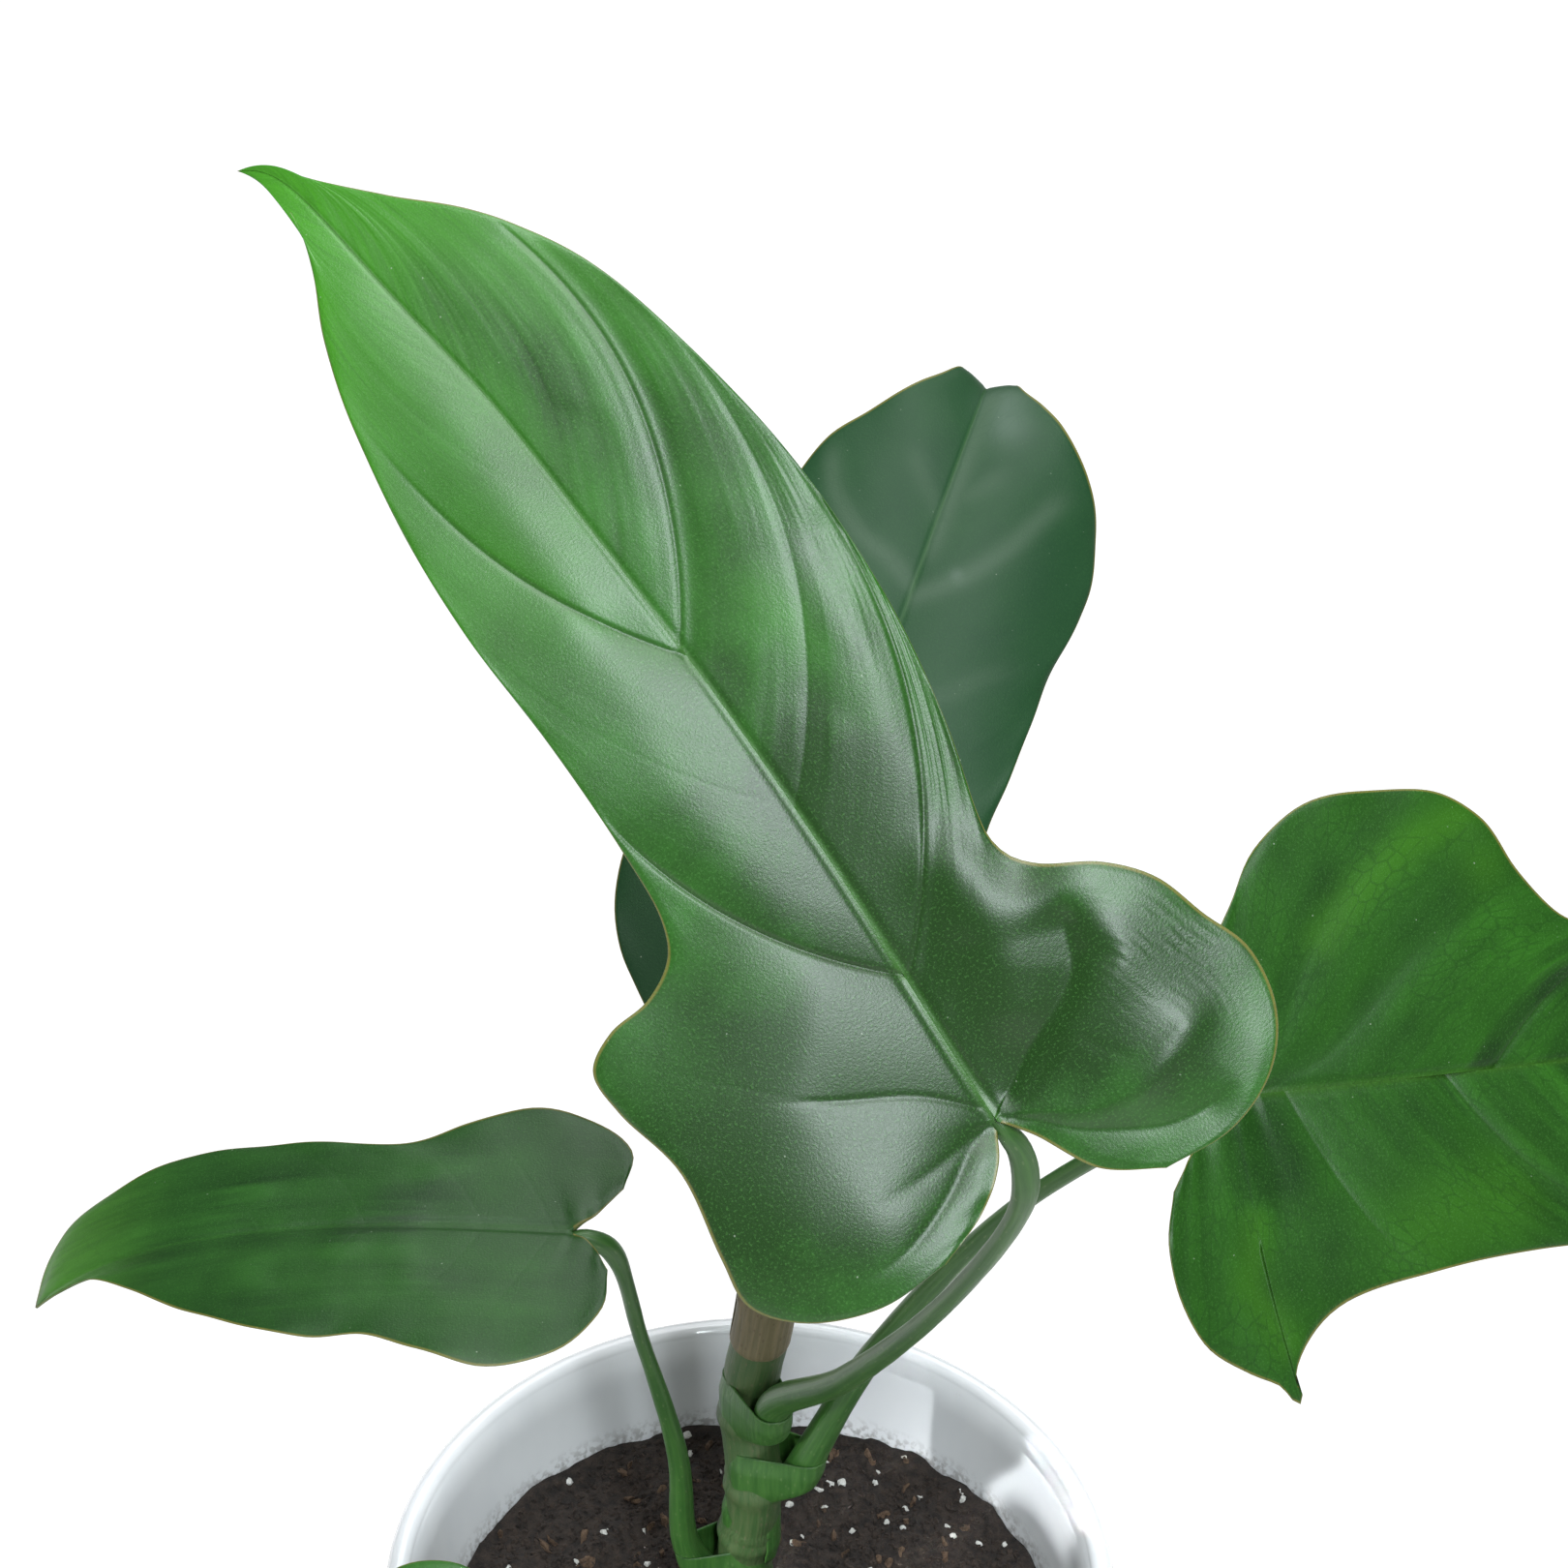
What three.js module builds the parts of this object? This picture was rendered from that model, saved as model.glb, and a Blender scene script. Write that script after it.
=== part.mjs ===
// Horsehead philodendron in a plain round pot.
// Millimetres, +Z up. The origin is the middle of the pot's flat underside.
// A leaf is drawn flat first: x across it, y along its midrib from the petiole to the tip,
// and is then bent along its midrib and folded across it.

import * as THREE from 'three';

const { clamp, degToRad, lerp } = THREE.MathUtils;

// Driving dimensions of the pot
const POT_HEIGHT = 138;
const POT_RIM_RADIUS = 75;
const POT_BASE_RADIUS = 51;
const POT_WALL = 5;
const POT_FLOOR = 6;
const POT_CORNER_RISE = 4;
const POT_CORNER_RUN = 3;
const POT_FOOT_CHAMFER = 1.5;
const POT_LIP_STEPS = 6;
const POT_SIDES = 48;
const TOUCH_GAP = 0.3;

// Driving dimensions of the soil
const SOIL_DEPTH_BELOW_RIM = 24;
const SOIL_EDGE_DROP = 2;
const SOIL_EDGE_RUN = 0.6;
const SOIL_LUMP = 1.1;
const SOIL_DISH = { start: 40, slope: 0.02 };
const SOIL_RINGS = 7;
const SOIL_SIDES = 40;

// The soil's lumps are waves: radians per mm along x and y, where they start, and their share
const BROAD_LUMP = { x: 0.19, xStart: 1.3, y: 0.23, yStart: -0.4 };
const FINE_LUMP = { x: 0.41, y: -0.37, share: 0.6 };

// Driving dimensions of the stem and petioles
const STEM_RADIUS = 5.6;
const STEM_FOOT = 66;
const STEM_SIDES = 12;
const STEM_STEPS = 46;
const NODE_SWELL = 0.9;
const NODE_SPREAD = 2.6;
const NODE_BELOW_LEAF = 5;
const PETIOLE_SIDES = 9;
const PETIOLE_STEPS = 18;
const BASE_LEAN = degToRad(20);
const BASE_RISE = 9;
const PETIOLE_TAPER = { by: 1.6, power: 0.6 };
const KNEE = { swell: 0.5, place: 0.92, length: 0.05 };

// A petiole's end and arrival in its leaf's axes: across the leaf, along its midrib, and up
const PETIOLE_END = [0, -1.2, -2.2];
const PETIOLE_ARRIVAL = [0, 0.8, 0.6];
const ARRIVAL_LENGTH = 6;

// Driving dimensions of the rolled young leaf, and its line from the stem's top
const YOUNG_RADIUS = 4.6;
const YOUNG_TIP_RADIUS = 0.5;
const YOUNG_TAPER_POWER = 2.2;
const YOUNG_BASE_RISE = 5;
const YOUNG_TILT = 0.1;
const YOUNG_SIDES = 12;
const YOUNG_STEPS = 20;
const YOUNG_WAY = [[1.5, -3.5, 16], [-2, -9, 36], [-6, -15, 54], [-10, -20, 68]];

// Driving dimensions of a leaf blade
const BLADE_THICKNESS = 0.9;
const KEEL_AT_PETIOLE = 1.2;
const KEEL_AT_TIP = 0.2;
const PANEL_SWELL = 1.3;
const PANEL_FULL_WIDTH = 40;
const MIDRIB_ROWS = 27;
const SINUS_ROWS = 6;
const ROW_SEARCH_STEP = 0.25;
const OUTLINE_STEPS = 10;
const BLADE_COLUMNS = [0, 0.13, 0.36, 0.62, 0.86, 1];
const FRONT_SCALE = 0.58;

// Colours from the photograph
const LEAF_GREEN = 0x2c6a2e;
const DEEP_GREEN = 0x1d5226;
const BLUE_GREEN = 0x2a5a40;
const PETIOLE_GREEN = 0x3c7430;
const NEW_GREEN = 0x6aa640;
const STEM_GREEN = 0x456b35;
const SOIL_BROWN = 0x2a1c16;
const POT_WHITE = 0xf2f3f5;

// How rough each surface is
const BLADE_ROUGHNESS = 0.4;
const GREEN_STALK_ROUGHNESS = 0.5;
const STEM_ROUGHNESS = 0.6;
const SOIL_ROUGHNESS = 0.95;
const POT_ROUGHNESS = 0.25;

// The stem's line through the places of its leaves, from its foot in the soil to its top
const STEM_LINE = [
  [0, 0, STEM_FOOT], [0, 0, 92], [0, 0, 117], [-1.5, 1.5, 137], [1, -0.5, 160], [0, 1, 184],
  [3, -2, 208],
];

// Flat outlines. margin runs from the tip round the blade and the ear to the lobe's end,
// sinus from the petiole back along the gap between the lobes. A rib is
// [start along the midrib from the tip, end along the margin from the tip, bow].
const MAIN_SHAPE = {
  length: 195,
  left: {
    margin: [
      [-1.2, 191], [-2.1, 187], [-2.4, 182], [-3.6, 176], [-7, 167.5], [-12.5, 158], [-18.2, 145],
      [-22.4, 128.5], [-24.7, 107], [-24.6, 85], [-25, 65], [-26, 53], [-28.5, 47.5], [-34.5, 43.8],
      [-42, 42.7], [-47.5, 39], [-47.5, 31], [-44.2, 18.5], [-46, 5.5], [-46.7, -2], [-41, -8.5],
      [-30, -13], [-18.5, -13],
    ],
    sinus: [[-3.5, -5.3], [-9.5, -9.8]],
    ribs: [
      [61, 17, 0.2], [85, 31, 0.2], [111, 49, 0.2], [139, 85, 0.2], [169, 125, 0.2], [192, 171, 0.09],
    ],
  },
  right: {
    margin: [
      [0.9, 190], [1.6, 185.5], [3.7, 179.5], [10, 169], [18, 157.5], [24.6, 142], [28.6, 122],
      [30.7, 99], [29.5, 73.5], [25.8, 53], [22.4, 40.5], [21.9, 36.5], [22.9, 32.8], [25.8, 29.7],
      [34, 25], [39.7, 18.8], [42.9, 9.4], [45.7, 0.9], [44.1, -9.1], [38.1, -16.8], [28.6, -20.7],
      [17, -20],
    ],
    sinus: [[3.7, -5], [8.9, -14.4]],
    ribs: [
      [63, 17, 0.2], [87, 29, 0.2], [109, 45, 0.22], [139, 73, 0.24], [170, 97, 0.22], [194, 185, 0.03],
    ],
  },
};

const RIGHT_SHAPE = {
  length: 168,
  left: {
    margin: [
      [-2, 163], [-6, 154], [-12, 142], [-18, 127], [-22.5, 110], [-24.5, 92], [-23, 76],
      [-25.5, 63], [-34.5, 54.5], [-44.5, 48.5], [-49.2, 41.5], [-50.5, 27], [-49, 14.5],
      [-42, 4], [-33, -2], [-23, -8], [-12, -11],
    ],
    sinus: [[-2.5, -4], [-6.5, -9]],
    ribs: [[44, 14, 0.18], [70, 32, 0.2], [98, 54, 0.2], [128, 84, 0.2], [160, 132, 0.14]],
  },
  right: {
    margin: [
      [2.5, 163], [7, 154], [14, 142], [21, 128], [27, 112], [31, 94], [33, 75], [32, 55],
      [32.2, 40], [33.3, 27], [36.5, 11], [42, 3.5], [47.5, -0.3], [49.5, -1.6], [46.5, -8],
      [41, -16], [33, -20.3], [24, -21.5], [15, -19],
    ],
    sinus: [[3, -4.5], [7.5, -13]],
    ribs: [[44, 16, 0.18], [70, 36, 0.2], [100, 62, 0.2], [133, 98, 0.2], [163, 150, 0.1]],
  },
};

const LEFT_SHAPE = {
  length: 110,
  left: {
    margin: [
      [-1, 104], [-1.4, 98.5], [-2.8, 93.4], [-5.4, 88.6], [-9.2, 82.7], [-13.7, 76], [-19.4, 66],
      [-23.8, 54.5], [-26, 44.5], [-26, 34], [-29, 24], [-32, 12], [-28, -1], [-19, -8], [-10, -8],
    ],
    sinus: [[-2.5, -3.5]],
    ribs: [[33, 16, 0.16], [52, 32, 0.2], [72, 54, 0.2], [94, 82, 0.16], [107, 98, 0.08]],
  },
  right: {
    margin: [
      [2.7, 108.7], [5.9, 107.2], [9.4, 105], [12.6, 101.5], [15, 95.5], [17.2, 86], [19.5, 76.5],
      [20, 64], [19, 48], [18, 34], [23, 22], [27, 10], [24, -3], [17, -10], [9, -9],
    ],
    sinus: [[2.5, -3.5]],
    ribs: [[33, 20, 0.16], [52, 38, 0.2], [72, 60, 0.2], [94, 86, 0.14], [107, 100, 0.06]],
  },
};

const BACK_SHAPE = {
  length: 166,
  left: {
    margin: [
      [-2, 160], [-5, 152], [-9, 143], [-13, 138.5], [-20.5, 130], [-27, 122.5], [-30.5, 114],
      [-32, 100], [-31.5, 85], [-30, 70], [-30, 58], [-33, 46], [-38, 36], [-38, 24],
      [-34, 14], [-30, 8.5], [-20, -2], [-11, -5],
    ],
    sinus: [[-2.5, -3]],
    ribs: [
      [24, 16, 0.12], [47, 34, 0.16], [68, 52, 0.16], [92, 74, 0.18], [120, 96, 0.18], [160, 128, 0.1],
    ],
  },
  right: {
    margin: [
      [2, 160], [5, 152], [8, 145], [12.7, 141.6], [18, 138], [26, 131.5], [32, 123], [34.5, 112],
      [34.4, 104], [32.2, 91], [31.2, 78], [30, 64.7], [29, 52], [31, 42], [37, 33], [40, 22],
      [38, 8], [31, -3], [21, -8], [12, -7],
    ],
    sinus: [[2.5, -3.5]],
    ribs: [
      [24, 16, 0.12], [46, 34, 0.16], [70, 52, 0.16], [95, 76, 0.18], [125, 100, 0.18], [160, 142, 0.1],
    ],
  },
};

// A low young leaf has the first leaf's shape, turned over left to right and smaller
const FRONT_SHAPE = mirroredShape(MAIN_SHAPE, FRONT_SCALE);

// Each leaf in its place. toward is the midrib's direction at the petiole, facing the upper
// side's. pitch, sway (degrees) and fold, cup (degrees, degrees per mm) are [y, value] pairs.
// The petiole leaves the stem at stemHeight and azimuth (degrees), and runs through way.
const LEAVES = [
  {
    name: 'main', shape: MAIN_SHAPE, colour: LEAF_GREEN,
    junction: [39, -89, 331], toward: [-0.6, 0.49, 0.63], facing: [0, -0.83, 0.56],
    pitch: [[-30, -8], [0, 3], [60, 2], [120, -5], [165, -12], [195, -34]],
    sway: [
      [-30, 2], [0, 3], [20, 5], [40, 4], [60, 2.5], [80, 1], [100, -0.7], [125, -1], [145, -6.5],
      [170, -4.5], [184, -14], [195, -50],
    ],
    fold: [[0, 8]], cup: [[0, 0.22]],
    stemHeight: 186, azimuth: -66, baseRadius: 3.8, endRadius: 1.7,
    way: [[18, -36, 226], [36, -70, 280], [44, -86, 314]],
  },
  {
    name: 'right', shape: RIGHT_SHAPE, colour: DEEP_GREEN,
    junction: [88, -35, 292], toward: [0.925, 0.345, -0.155], facing: [0.2, -0.73, 0.65],
    pitch: [[-35, -8], [0, 4], [50, 0], [100, -16], [168, -45]],
    sway: [[-35, 0], [0, 1], [50, 0], [110, 4], [168, 6]],
    fold: [[0, 8]], cup: [[0, 0.3]],
    stemHeight: 168, azimuth: -20, baseRadius: 3.8, endRadius: 1.7,
    way: [[24, -8, 205], [48, -18, 250], [70, -28, 278]],
  },
  {
    name: 'back', shape: BACK_SHAPE, colour: BLUE_GREEN,
    junction: [5, 24, 252], toward: [0.3, 0.7, 0.65], facing: [0, -0.68, 0.73],
    pitch: [[-30, -6], [0, 6], [60, 2], [120, -6], [140, -25], [152, -85], [166, -125]],
    sway: [[-30, 0], [0, -4], [60, 0], [120, 2], [166, 0]],
    fold: [[0, 10], [120, 12], [146, 30]], cup: [[0, 0.4], [146, 1.6]],
    stemHeight: 153, azimuth: 86, baseRadius: 3.6, endRadius: 1.6,
    way: [[1, 19, 190], [1.5, 22, 222]],
  },
  {
    name: 'left', shape: LEFT_SHAPE, colour: DEEP_GREEN,
    junction: [-32, -18, 246], toward: [-0.985, 0.03, -0.12], facing: [-0.12, -0.16, 0.98],
    pitch: [[-24, -6], [0, 6], [45, -2], [80, -14], [110, -42]],
    sway: [[-24, 3.2], [0, 3.2], [40, 3.6], [60, 2.2], [110, -3]],
    fold: [[0, 9]], cup: [[0, 0.4]],
    stemHeight: 140, azimuth: 200, baseRadius: 3.4, endRadius: 1.5,
    way: [[-14, -6, 176], [-20, -13, 214]],
  },
  {
    name: 'front', shape: FRONT_SHAPE, colour: LEAF_GREEN,
    junction: [-38, -84, 212], toward: [-0.4, -0.86, -0.3], facing: [-0.12, -0.38, 0.92],
    pitch: [[-20, -6], [0, 6], [40, -6], [80, -26], [112, -46]],
    sway: [[-20, 0], [60, 2], [112, -8]],
    fold: [[0, 9]], cup: [[0, 0.5]],
    stemHeight: 127, azimuth: -118, baseRadius: 3.2, endRadius: 1.5,
    way: [[-13, -28, 156], [-25, -56, 188]],
  },
];

function mirroredShape(shape, scale) {
  const flipped = (half) => ({
    margin: half.margin.map(([x, y]) => [-x * scale, y * scale]),
    sinus: half.sinus.map(([x, y]) => [-x * scale, y * scale]),
    ribs: half.ribs.map(([start, end, bow]) => [start * scale, end * scale, bow]),
  });
  return { length: shape.length * scale, left: flipped(shape.right), right: flipped(shape.left) };
}

const toVector = (xyz) => new THREE.Vector3(...xyz);

// A smooth value through [y, value] pairs, held level past both ends
function smoothValue(knots, y) {
  if (knots.length === 1) return knots[0][1];
  const last = knots.length - 1;
  const here = clamp(y, knots[0][0], knots[last][0]);
  let i = 0;
  while (i < last - 1 && here >= knots[i + 1][0]) i += 1;
  const slope = (k) => {
    const before = knots[Math.max(k - 1, 0)];
    const after = knots[Math.min(k + 1, last)];
    return (after[1] - before[1]) / (after[0] - before[0]);
  };
  const span = knots[i + 1][0] - knots[i][0];
  const t = (here - knots[i][0]) / span;
  const t2 = t * t;
  const t3 = t2 * t;
  return (2 * t3 - 3 * t2 + 1) * knots[i][1] + (t3 - 2 * t2 + t) * span * slope(i)
    + (3 * t2 - 2 * t3) * knots[i + 1][1] + (t3 - t2) * span * slope(i + 1);
}

// A line of points with its running length, read at any distance along it
class MeasuredLine {
  constructor(points) {
    this.points = points;
    this.distances = [0];
    for (let i = 1; i < points.length; i += 1) {
      this.distances.push(this.distances[i - 1] + points[i].distanceTo(points[i - 1]));
    }
    this.length = this.distances.at(-1);
  }

  at(distance) {
    let i = 1;
    while (i < this.points.length - 1 && this.distances[i] < distance) i += 1;
    const span = this.distances[i] - this.distances[i - 1];
    const t = clamp((distance - this.distances[i - 1]) / span, 0, 1);
    return this.points[i - 1].clone().lerp(this.points[i], t);
  }
}

function smoothLine(points) {
  const flat = points.map(([x, y]) => new THREE.Vector3(x, y, 0));
  const curve = new THREE.CatmullRomCurve3(flat, false, 'centripetal');
  return curve.getPoints(points.length * OUTLINE_STEPS).map((p) => new THREE.Vector2(p.x, p.y));
}

// One half of a flat blade: its inner edge is the midrib and then the sinus, its outer edge
// the margin. Rows run between the two, bowed as the lateral ribs are.
class BladeHalf {
  constructor(length, half) {
    this.side = Math.sign(half.margin.at(-1)[0]);
    this.margin = new MeasuredLine(smoothLine([[0, length], ...half.margin]));
    const lobeEnd = half.margin.at(-1);
    const sinus = smoothLine([[0, 0], ...half.sinus, lobeEnd]);
    this.inner = new MeasuredLine([new THREE.Vector2(0, length), ...sinus]);
    this.ribs = [[0, 0, half.ribs[0][2]], ...half.ribs, [this.inner.length, this.margin.length, 0]];
  }

  between(inner) {
    let i = 1;
    while (i < this.ribs.length - 1 && this.ribs[i][0] < inner) i += 1;
    const [before, after] = [this.ribs[i - 1], this.ribs[i]];
    const t = clamp((inner - before[0]) / (after[0] - before[0]), 0, 1);
    return { t, end: lerp(before[1], after[1], t), bow: lerp(before[2], after[2], t) };
  }

  // A point at a distance along the inner edge, and a part v of the way to the margin
  at(inner, v) {
    const { t, end, bow } = this.between(inner);
    const from = this.inner.at(inner);
    const to = this.margin.at(end);
    const chord = to.clone().sub(from);
    const middle = from.clone().add(to).multiplyScalar(0.5);
    middle.x += chord.y * this.side * bow;
    middle.y -= chord.x * this.side * bow;
    const point = from.multiplyScalar((1 - v) ** 2)
      .addScaledVector(middle, 2 * v * (1 - v))
      .addScaledVector(to, v * v);
    const width = Math.min(1, chord.length() / PANEL_FULL_WIDTH);
    return { point, swell: PANEL_SWELL * Math.sin(Math.PI * t) * Math.sin(Math.PI * v) * width };
  }
}

// Rows across both halves, set closer where either margin turns: the midrib's rows are shared
function rowStations(half, other, length) {
  const progress = (inner) => inner + (half.between(inner).end + other.between(inner).end) / 2;
  const rows = [0];
  for (let inner = 0; rows.length < MIDRIB_ROWS; inner += ROW_SEARCH_STEP) {
    if (progress(inner) >= (progress(length) * rows.length) / MIDRIB_ROWS) rows.push(inner);
  }
  rows.push(length);
  const sinus = half.inner.length - length;
  for (let i = 1; i <= SINUS_ROWS; i += 1) rows.push(length + (sinus * i) / SINUS_ROWS);
  return rows;
}

// The bent surface of a leaf: flat x, y to a point in space and the upper side's normal.
// Its stations lie one millimetre apart along the midrib.
class LeafSurface {
  constructor(leaf) {
    this.leaf = leaf;
    const y = toVector(leaf.toward).normalize();
    const z = toVector(leaf.facing);
    z.addScaledVector(y, -z.dot(y)).normalize();
    this.axes = new THREE.Matrix4().makeBasis(new THREE.Vector3().crossVectors(y, z), y, z);
    this.axes.setPosition(toVector(leaf.junction));
    this.start = leaf.pitch[0][0];
    this.stations = [];
    const centre = new THREE.Vector3();
    for (let s = this.start; s <= leaf.shape.length + 1; s += 1) {
      const pitch = degToRad(smoothValue(leaf.pitch, s));
      const sway = degToRad(smoothValue(leaf.sway, s));
      const level = Math.cos(pitch);
      const tangent = new THREE.Vector3(Math.sin(sway) * level, Math.cos(sway) * level, Math.sin(pitch));
      const across = new THREE.Vector3(Math.cos(sway), -Math.sin(sway), 0);
      const normal = new THREE.Vector3().crossVectors(across, tangent);
      centre.addScaledVector(tangent, s === this.start ? 0 : 1);
      this.stations.push({ centre: centre.clone(), across, normal });
    }
    const middle = this.stations[-this.start].centre.clone();
    this.stations.forEach((station) => station.centre.sub(middle));
  }

  at(x, y) {
    const place = clamp(y - this.start, 0, this.stations.length - 1.001);
    const i = Math.floor(place);
    const [a, b] = [this.stations[i], this.stations[i + 1]];
    const mix = (key) => a[key].clone().lerp(b[key], place - i);
    const side = x < 0 ? -1 : 1;
    const width = Math.abs(x);
    const fold = degToRad(smoothValue(this.leaf.fold, y));
    const cup = degToRad(smoothValue(this.leaf.cup, y));
    const slope = fold - cup * width;
    const reach = (Math.sin(fold) - Math.sin(slope)) / cup;
    const rise = (Math.cos(slope) - Math.cos(fold)) / cup;
    const [across, up] = [mix('across'), mix('normal')];
    const point = mix('centre').addScaledVector(across, reach * side).addScaledVector(up, rise);
    const normal = up.multiplyScalar(Math.cos(slope)).addScaledVector(across, -side * Math.sin(slope));
    return { point: point.applyMatrix4(this.axes), normal: normal.transformDirection(this.axes) };
  }
}

// A leaf blade: two halves that share the midrib, thickened, with a keel under the midrib
function bladeGeometry(leaf) {
  const surface = new LeafSurface(leaf);
  const { length } = leaf.shape;
  const [upper, lower, keys, faces] = [[], [], new Map(), []];
  const left = new BladeHalf(length, leaf.shape.left);
  const right = new BladeHalf(length, leaf.shape.right);
  for (const [half, other] of [[left, right], [right, left]]) {
    const rows = rowStations(half, other, length);
    const vertexAt = (i, j) => {
      const shared = i === 0 ? 'tip' : `${half.side}/${i}/${i === rows.length - 1 ? 0 : j}`;
      const key = j === 0 && i > 0 && i <= MIDRIB_ROWS ? `midrib/${i}` : shared;
      if (!keys.has(key)) {
        const { point: flat, swell } = half.at(rows[i], BLADE_COLUMNS[j]);
        const { point, normal } = surface.at(flat.x, flat.y);
        const onMidrib = key.startsWith('midrib');
        const keel = onMidrib ? lerp(KEEL_AT_TIP, KEEL_AT_PETIOLE, i / MIDRIB_ROWS) : 0;
        keys.set(key, upper.length);
        upper.push(point.clone().addScaledVector(normal, BLADE_THICKNESS / 2 + swell));
        lower.push(point.clone().addScaledVector(normal, swell - BLADE_THICKNESS / 2 - keel));
      }
      return keys.get(key);
    };
    for (let i = 0; i + 1 < rows.length; i += 1) {
      for (let j = 0; j + 1 < BLADE_COLUMNS.length; j += 1) {
        const [a, b] = [vertexAt(i, j), vertexAt(i + 1, j)];
        const [c, d] = [vertexAt(i + 1, j + 1), vertexAt(i, j + 1)];
        for (const face of [[a, b, c], [a, c, d]]) {
          if (new Set(face).size === 3) faces.push(half.side > 0 ? face : face.toReversed());
        }
      }
    }
  }
  return thickened(upper, lower, faces);
}

// Closes an upper and a lower sheet of like faces into one solid along their free edges
function thickened(upper, lower, faces) {
  const offset = upper.length;
  const edges = new Set(faces.flatMap(([a, b, c]) => [`${a},${b}`, `${b},${c}`, `${c},${a}`]));
  const index = faces.flatMap(([a, b, c]) => [a, b, c, c + offset, b + offset, a + offset]);
  for (const edge of edges) {
    const [a, b] = edge.split(',').map(Number);
    if (!edges.has(`${b},${a}`)) index.push(b, a, a + offset, b, a + offset, b + offset);
  }
  return indexedGeometry([...upper, ...lower], index);
}

function indexedGeometry(points, index) {
  const geometry = new THREE.BufferGeometry();
  geometry.setAttribute('position', new THREE.Float32BufferAttribute(points.flatMap((p) => p.toArray()), 3));
  geometry.setIndex(index);
  geometry.computeVertexNormals();
  return geometry;
}

// A closed tube along a curve whose radius follows the part t of its length
function taperedTube(curve, radiusAt, sides, steps) {
  const { normals, binormals } = curve.computeFrenetFrames(steps, false);
  const points = [];
  const index = [];
  for (let i = 0; i <= steps; i += 1) {
    const centre = curve.getPointAt(i / steps);
    const radius = radiusAt(i / steps);
    for (let k = 0; k < sides; k += 1) {
      const angle = (2 * Math.PI * k) / sides;
      points.push(centre.clone()
        .addScaledVector(normals[i], radius * Math.cos(angle))
        .addScaledVector(binormals[i], radius * Math.sin(angle)));
      if (i < steps) {
        const next = (k + 1) % sides;
        const [a, b] = [i * sides + k, i * sides + next];
        const [c, d] = [b + sides, a + sides];
        index.push(a, b, c, a, c, d);
      }
    }
  }
  const [foot, head] = [points.length, points.length + 1];
  points.push(curve.getPointAt(0), curve.getPointAt(1));
  for (let k = 0; k < sides; k += 1) {
    const next = (k + 1) % sides;
    index.push(foot, next, k, head, steps * sides + k, steps * sides + next);
  }
  return indexedGeometry(points, index);
}

const stemCurve = new THREE.CatmullRomCurve3(STEM_LINE.map(toVector), false, 'centripetal');
const stemTop = toVector(STEM_LINE.at(-1));

function stemCentreAt(height) {
  let [low, high] = [0, 1];
  const halvings = 30;
  for (let i = 0; i < halvings; i += 1) {
    const middle = (low + high) / 2;
    if (stemCurve.getPointAt(middle).z < height) low = middle;
    else high = middle;
  }
  return stemCurve.getPointAt(low);
}

// The stem, a little swollen at each leaf's node
function stemGeometry() {
  const swellings = LEAVES.map((leaf) => leaf.stemHeight - NODE_BELOW_LEAF);
  const radiusAt = (t) => {
    const { z } = stemCurve.getPointAt(t);
    const swell = swellings.reduce((sum, place) => sum + Math.exp(-(((z - place) / NODE_SPREAD) ** 2)), 0);
    return STEM_RADIUS + NODE_SWELL * Math.min(swell, 1);
  };
  return taperedTube(stemCurve, radiusAt, STEM_SIDES, STEM_STEPS);
}

// A petiole leaves the stem steeply, arches out, and turns under the blade's junction
function petioleCurve(leaf) {
  const { axes } = new LeafSurface(leaf);
  const end = toVector(PETIOLE_END).applyMatrix4(axes);
  const arrival = toVector(PETIOLE_ARRIVAL).transformDirection(axes);
  const azimuth = degToRad(leaf.azimuth);
  const out = new THREE.Vector3(Math.cos(azimuth), Math.sin(azimuth), 0);
  const rising = out.clone().multiplyScalar(Math.sin(BASE_LEAN)).setZ(Math.cos(BASE_LEAN));
  const clearance = STEM_RADIUS + NODE_SWELL / 4 + TOUCH_GAP + leaf.baseRadius * Math.cos(BASE_LEAN);
  const base = stemCentreAt(leaf.stemHeight).addScaledVector(out, clearance);
  return new THREE.CatmullRomCurve3([
    base, base.clone().addScaledVector(rising, BASE_RISE), ...leaf.way.map(toVector),
    end.clone().addScaledVector(arrival, -ARRIVAL_LENGTH), end,
  ], false, 'centripetal');
}

function petioleGeometry(leaf) {
  const radiusAt = (t) => {
    const taper = Math.min(1, t * PETIOLE_TAPER.by) ** PETIOLE_TAPER.power;
    const knee = KNEE.swell * Math.exp(-(((t - KNEE.place) / KNEE.length) ** 2));
    return lerp(leaf.baseRadius, leaf.endRadius, taper) + knee;
  };
  return taperedTube(petioleCurve(leaf), radiusAt, PETIOLE_SIDES, PETIOLE_STEPS);
}

// The next leaf, still rolled up in its sheath, stands on the stem's top
function newLeafGeometry() {
  const gap = new THREE.Vector3(0, 0, TOUCH_GAP).applyAxisAngle(new THREE.Vector3(1, 0, 0), YOUNG_TILT);
  const base = stemTop.clone().add(gap);
  const curve = new THREE.CatmullRomCurve3([
    base, base.clone().addScaledVector(stemCurve.getTangentAt(1), YOUNG_BASE_RISE),
    ...YOUNG_WAY.map((offset) => toVector(offset).add(stemTop)),
  ], false, 'centripetal');
  const radiusAt = (t) => YOUNG_RADIUS * (1 - t ** YOUNG_TAPER_POWER) + YOUNG_TIP_RADIUS;
  return taperedTube(curve, radiusAt, YOUNG_SIDES, YOUNG_STEPS);
}

// The pot's inner wall has the same slope as its outer wall
const wallSlope = (POT_RIM_RADIUS - POT_BASE_RADIUS) / POT_HEIGHT;
const innerRadiusAt = (z) => POT_RIM_RADIUS - POT_WALL - wallSlope * (POT_HEIGHT - z);

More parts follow.
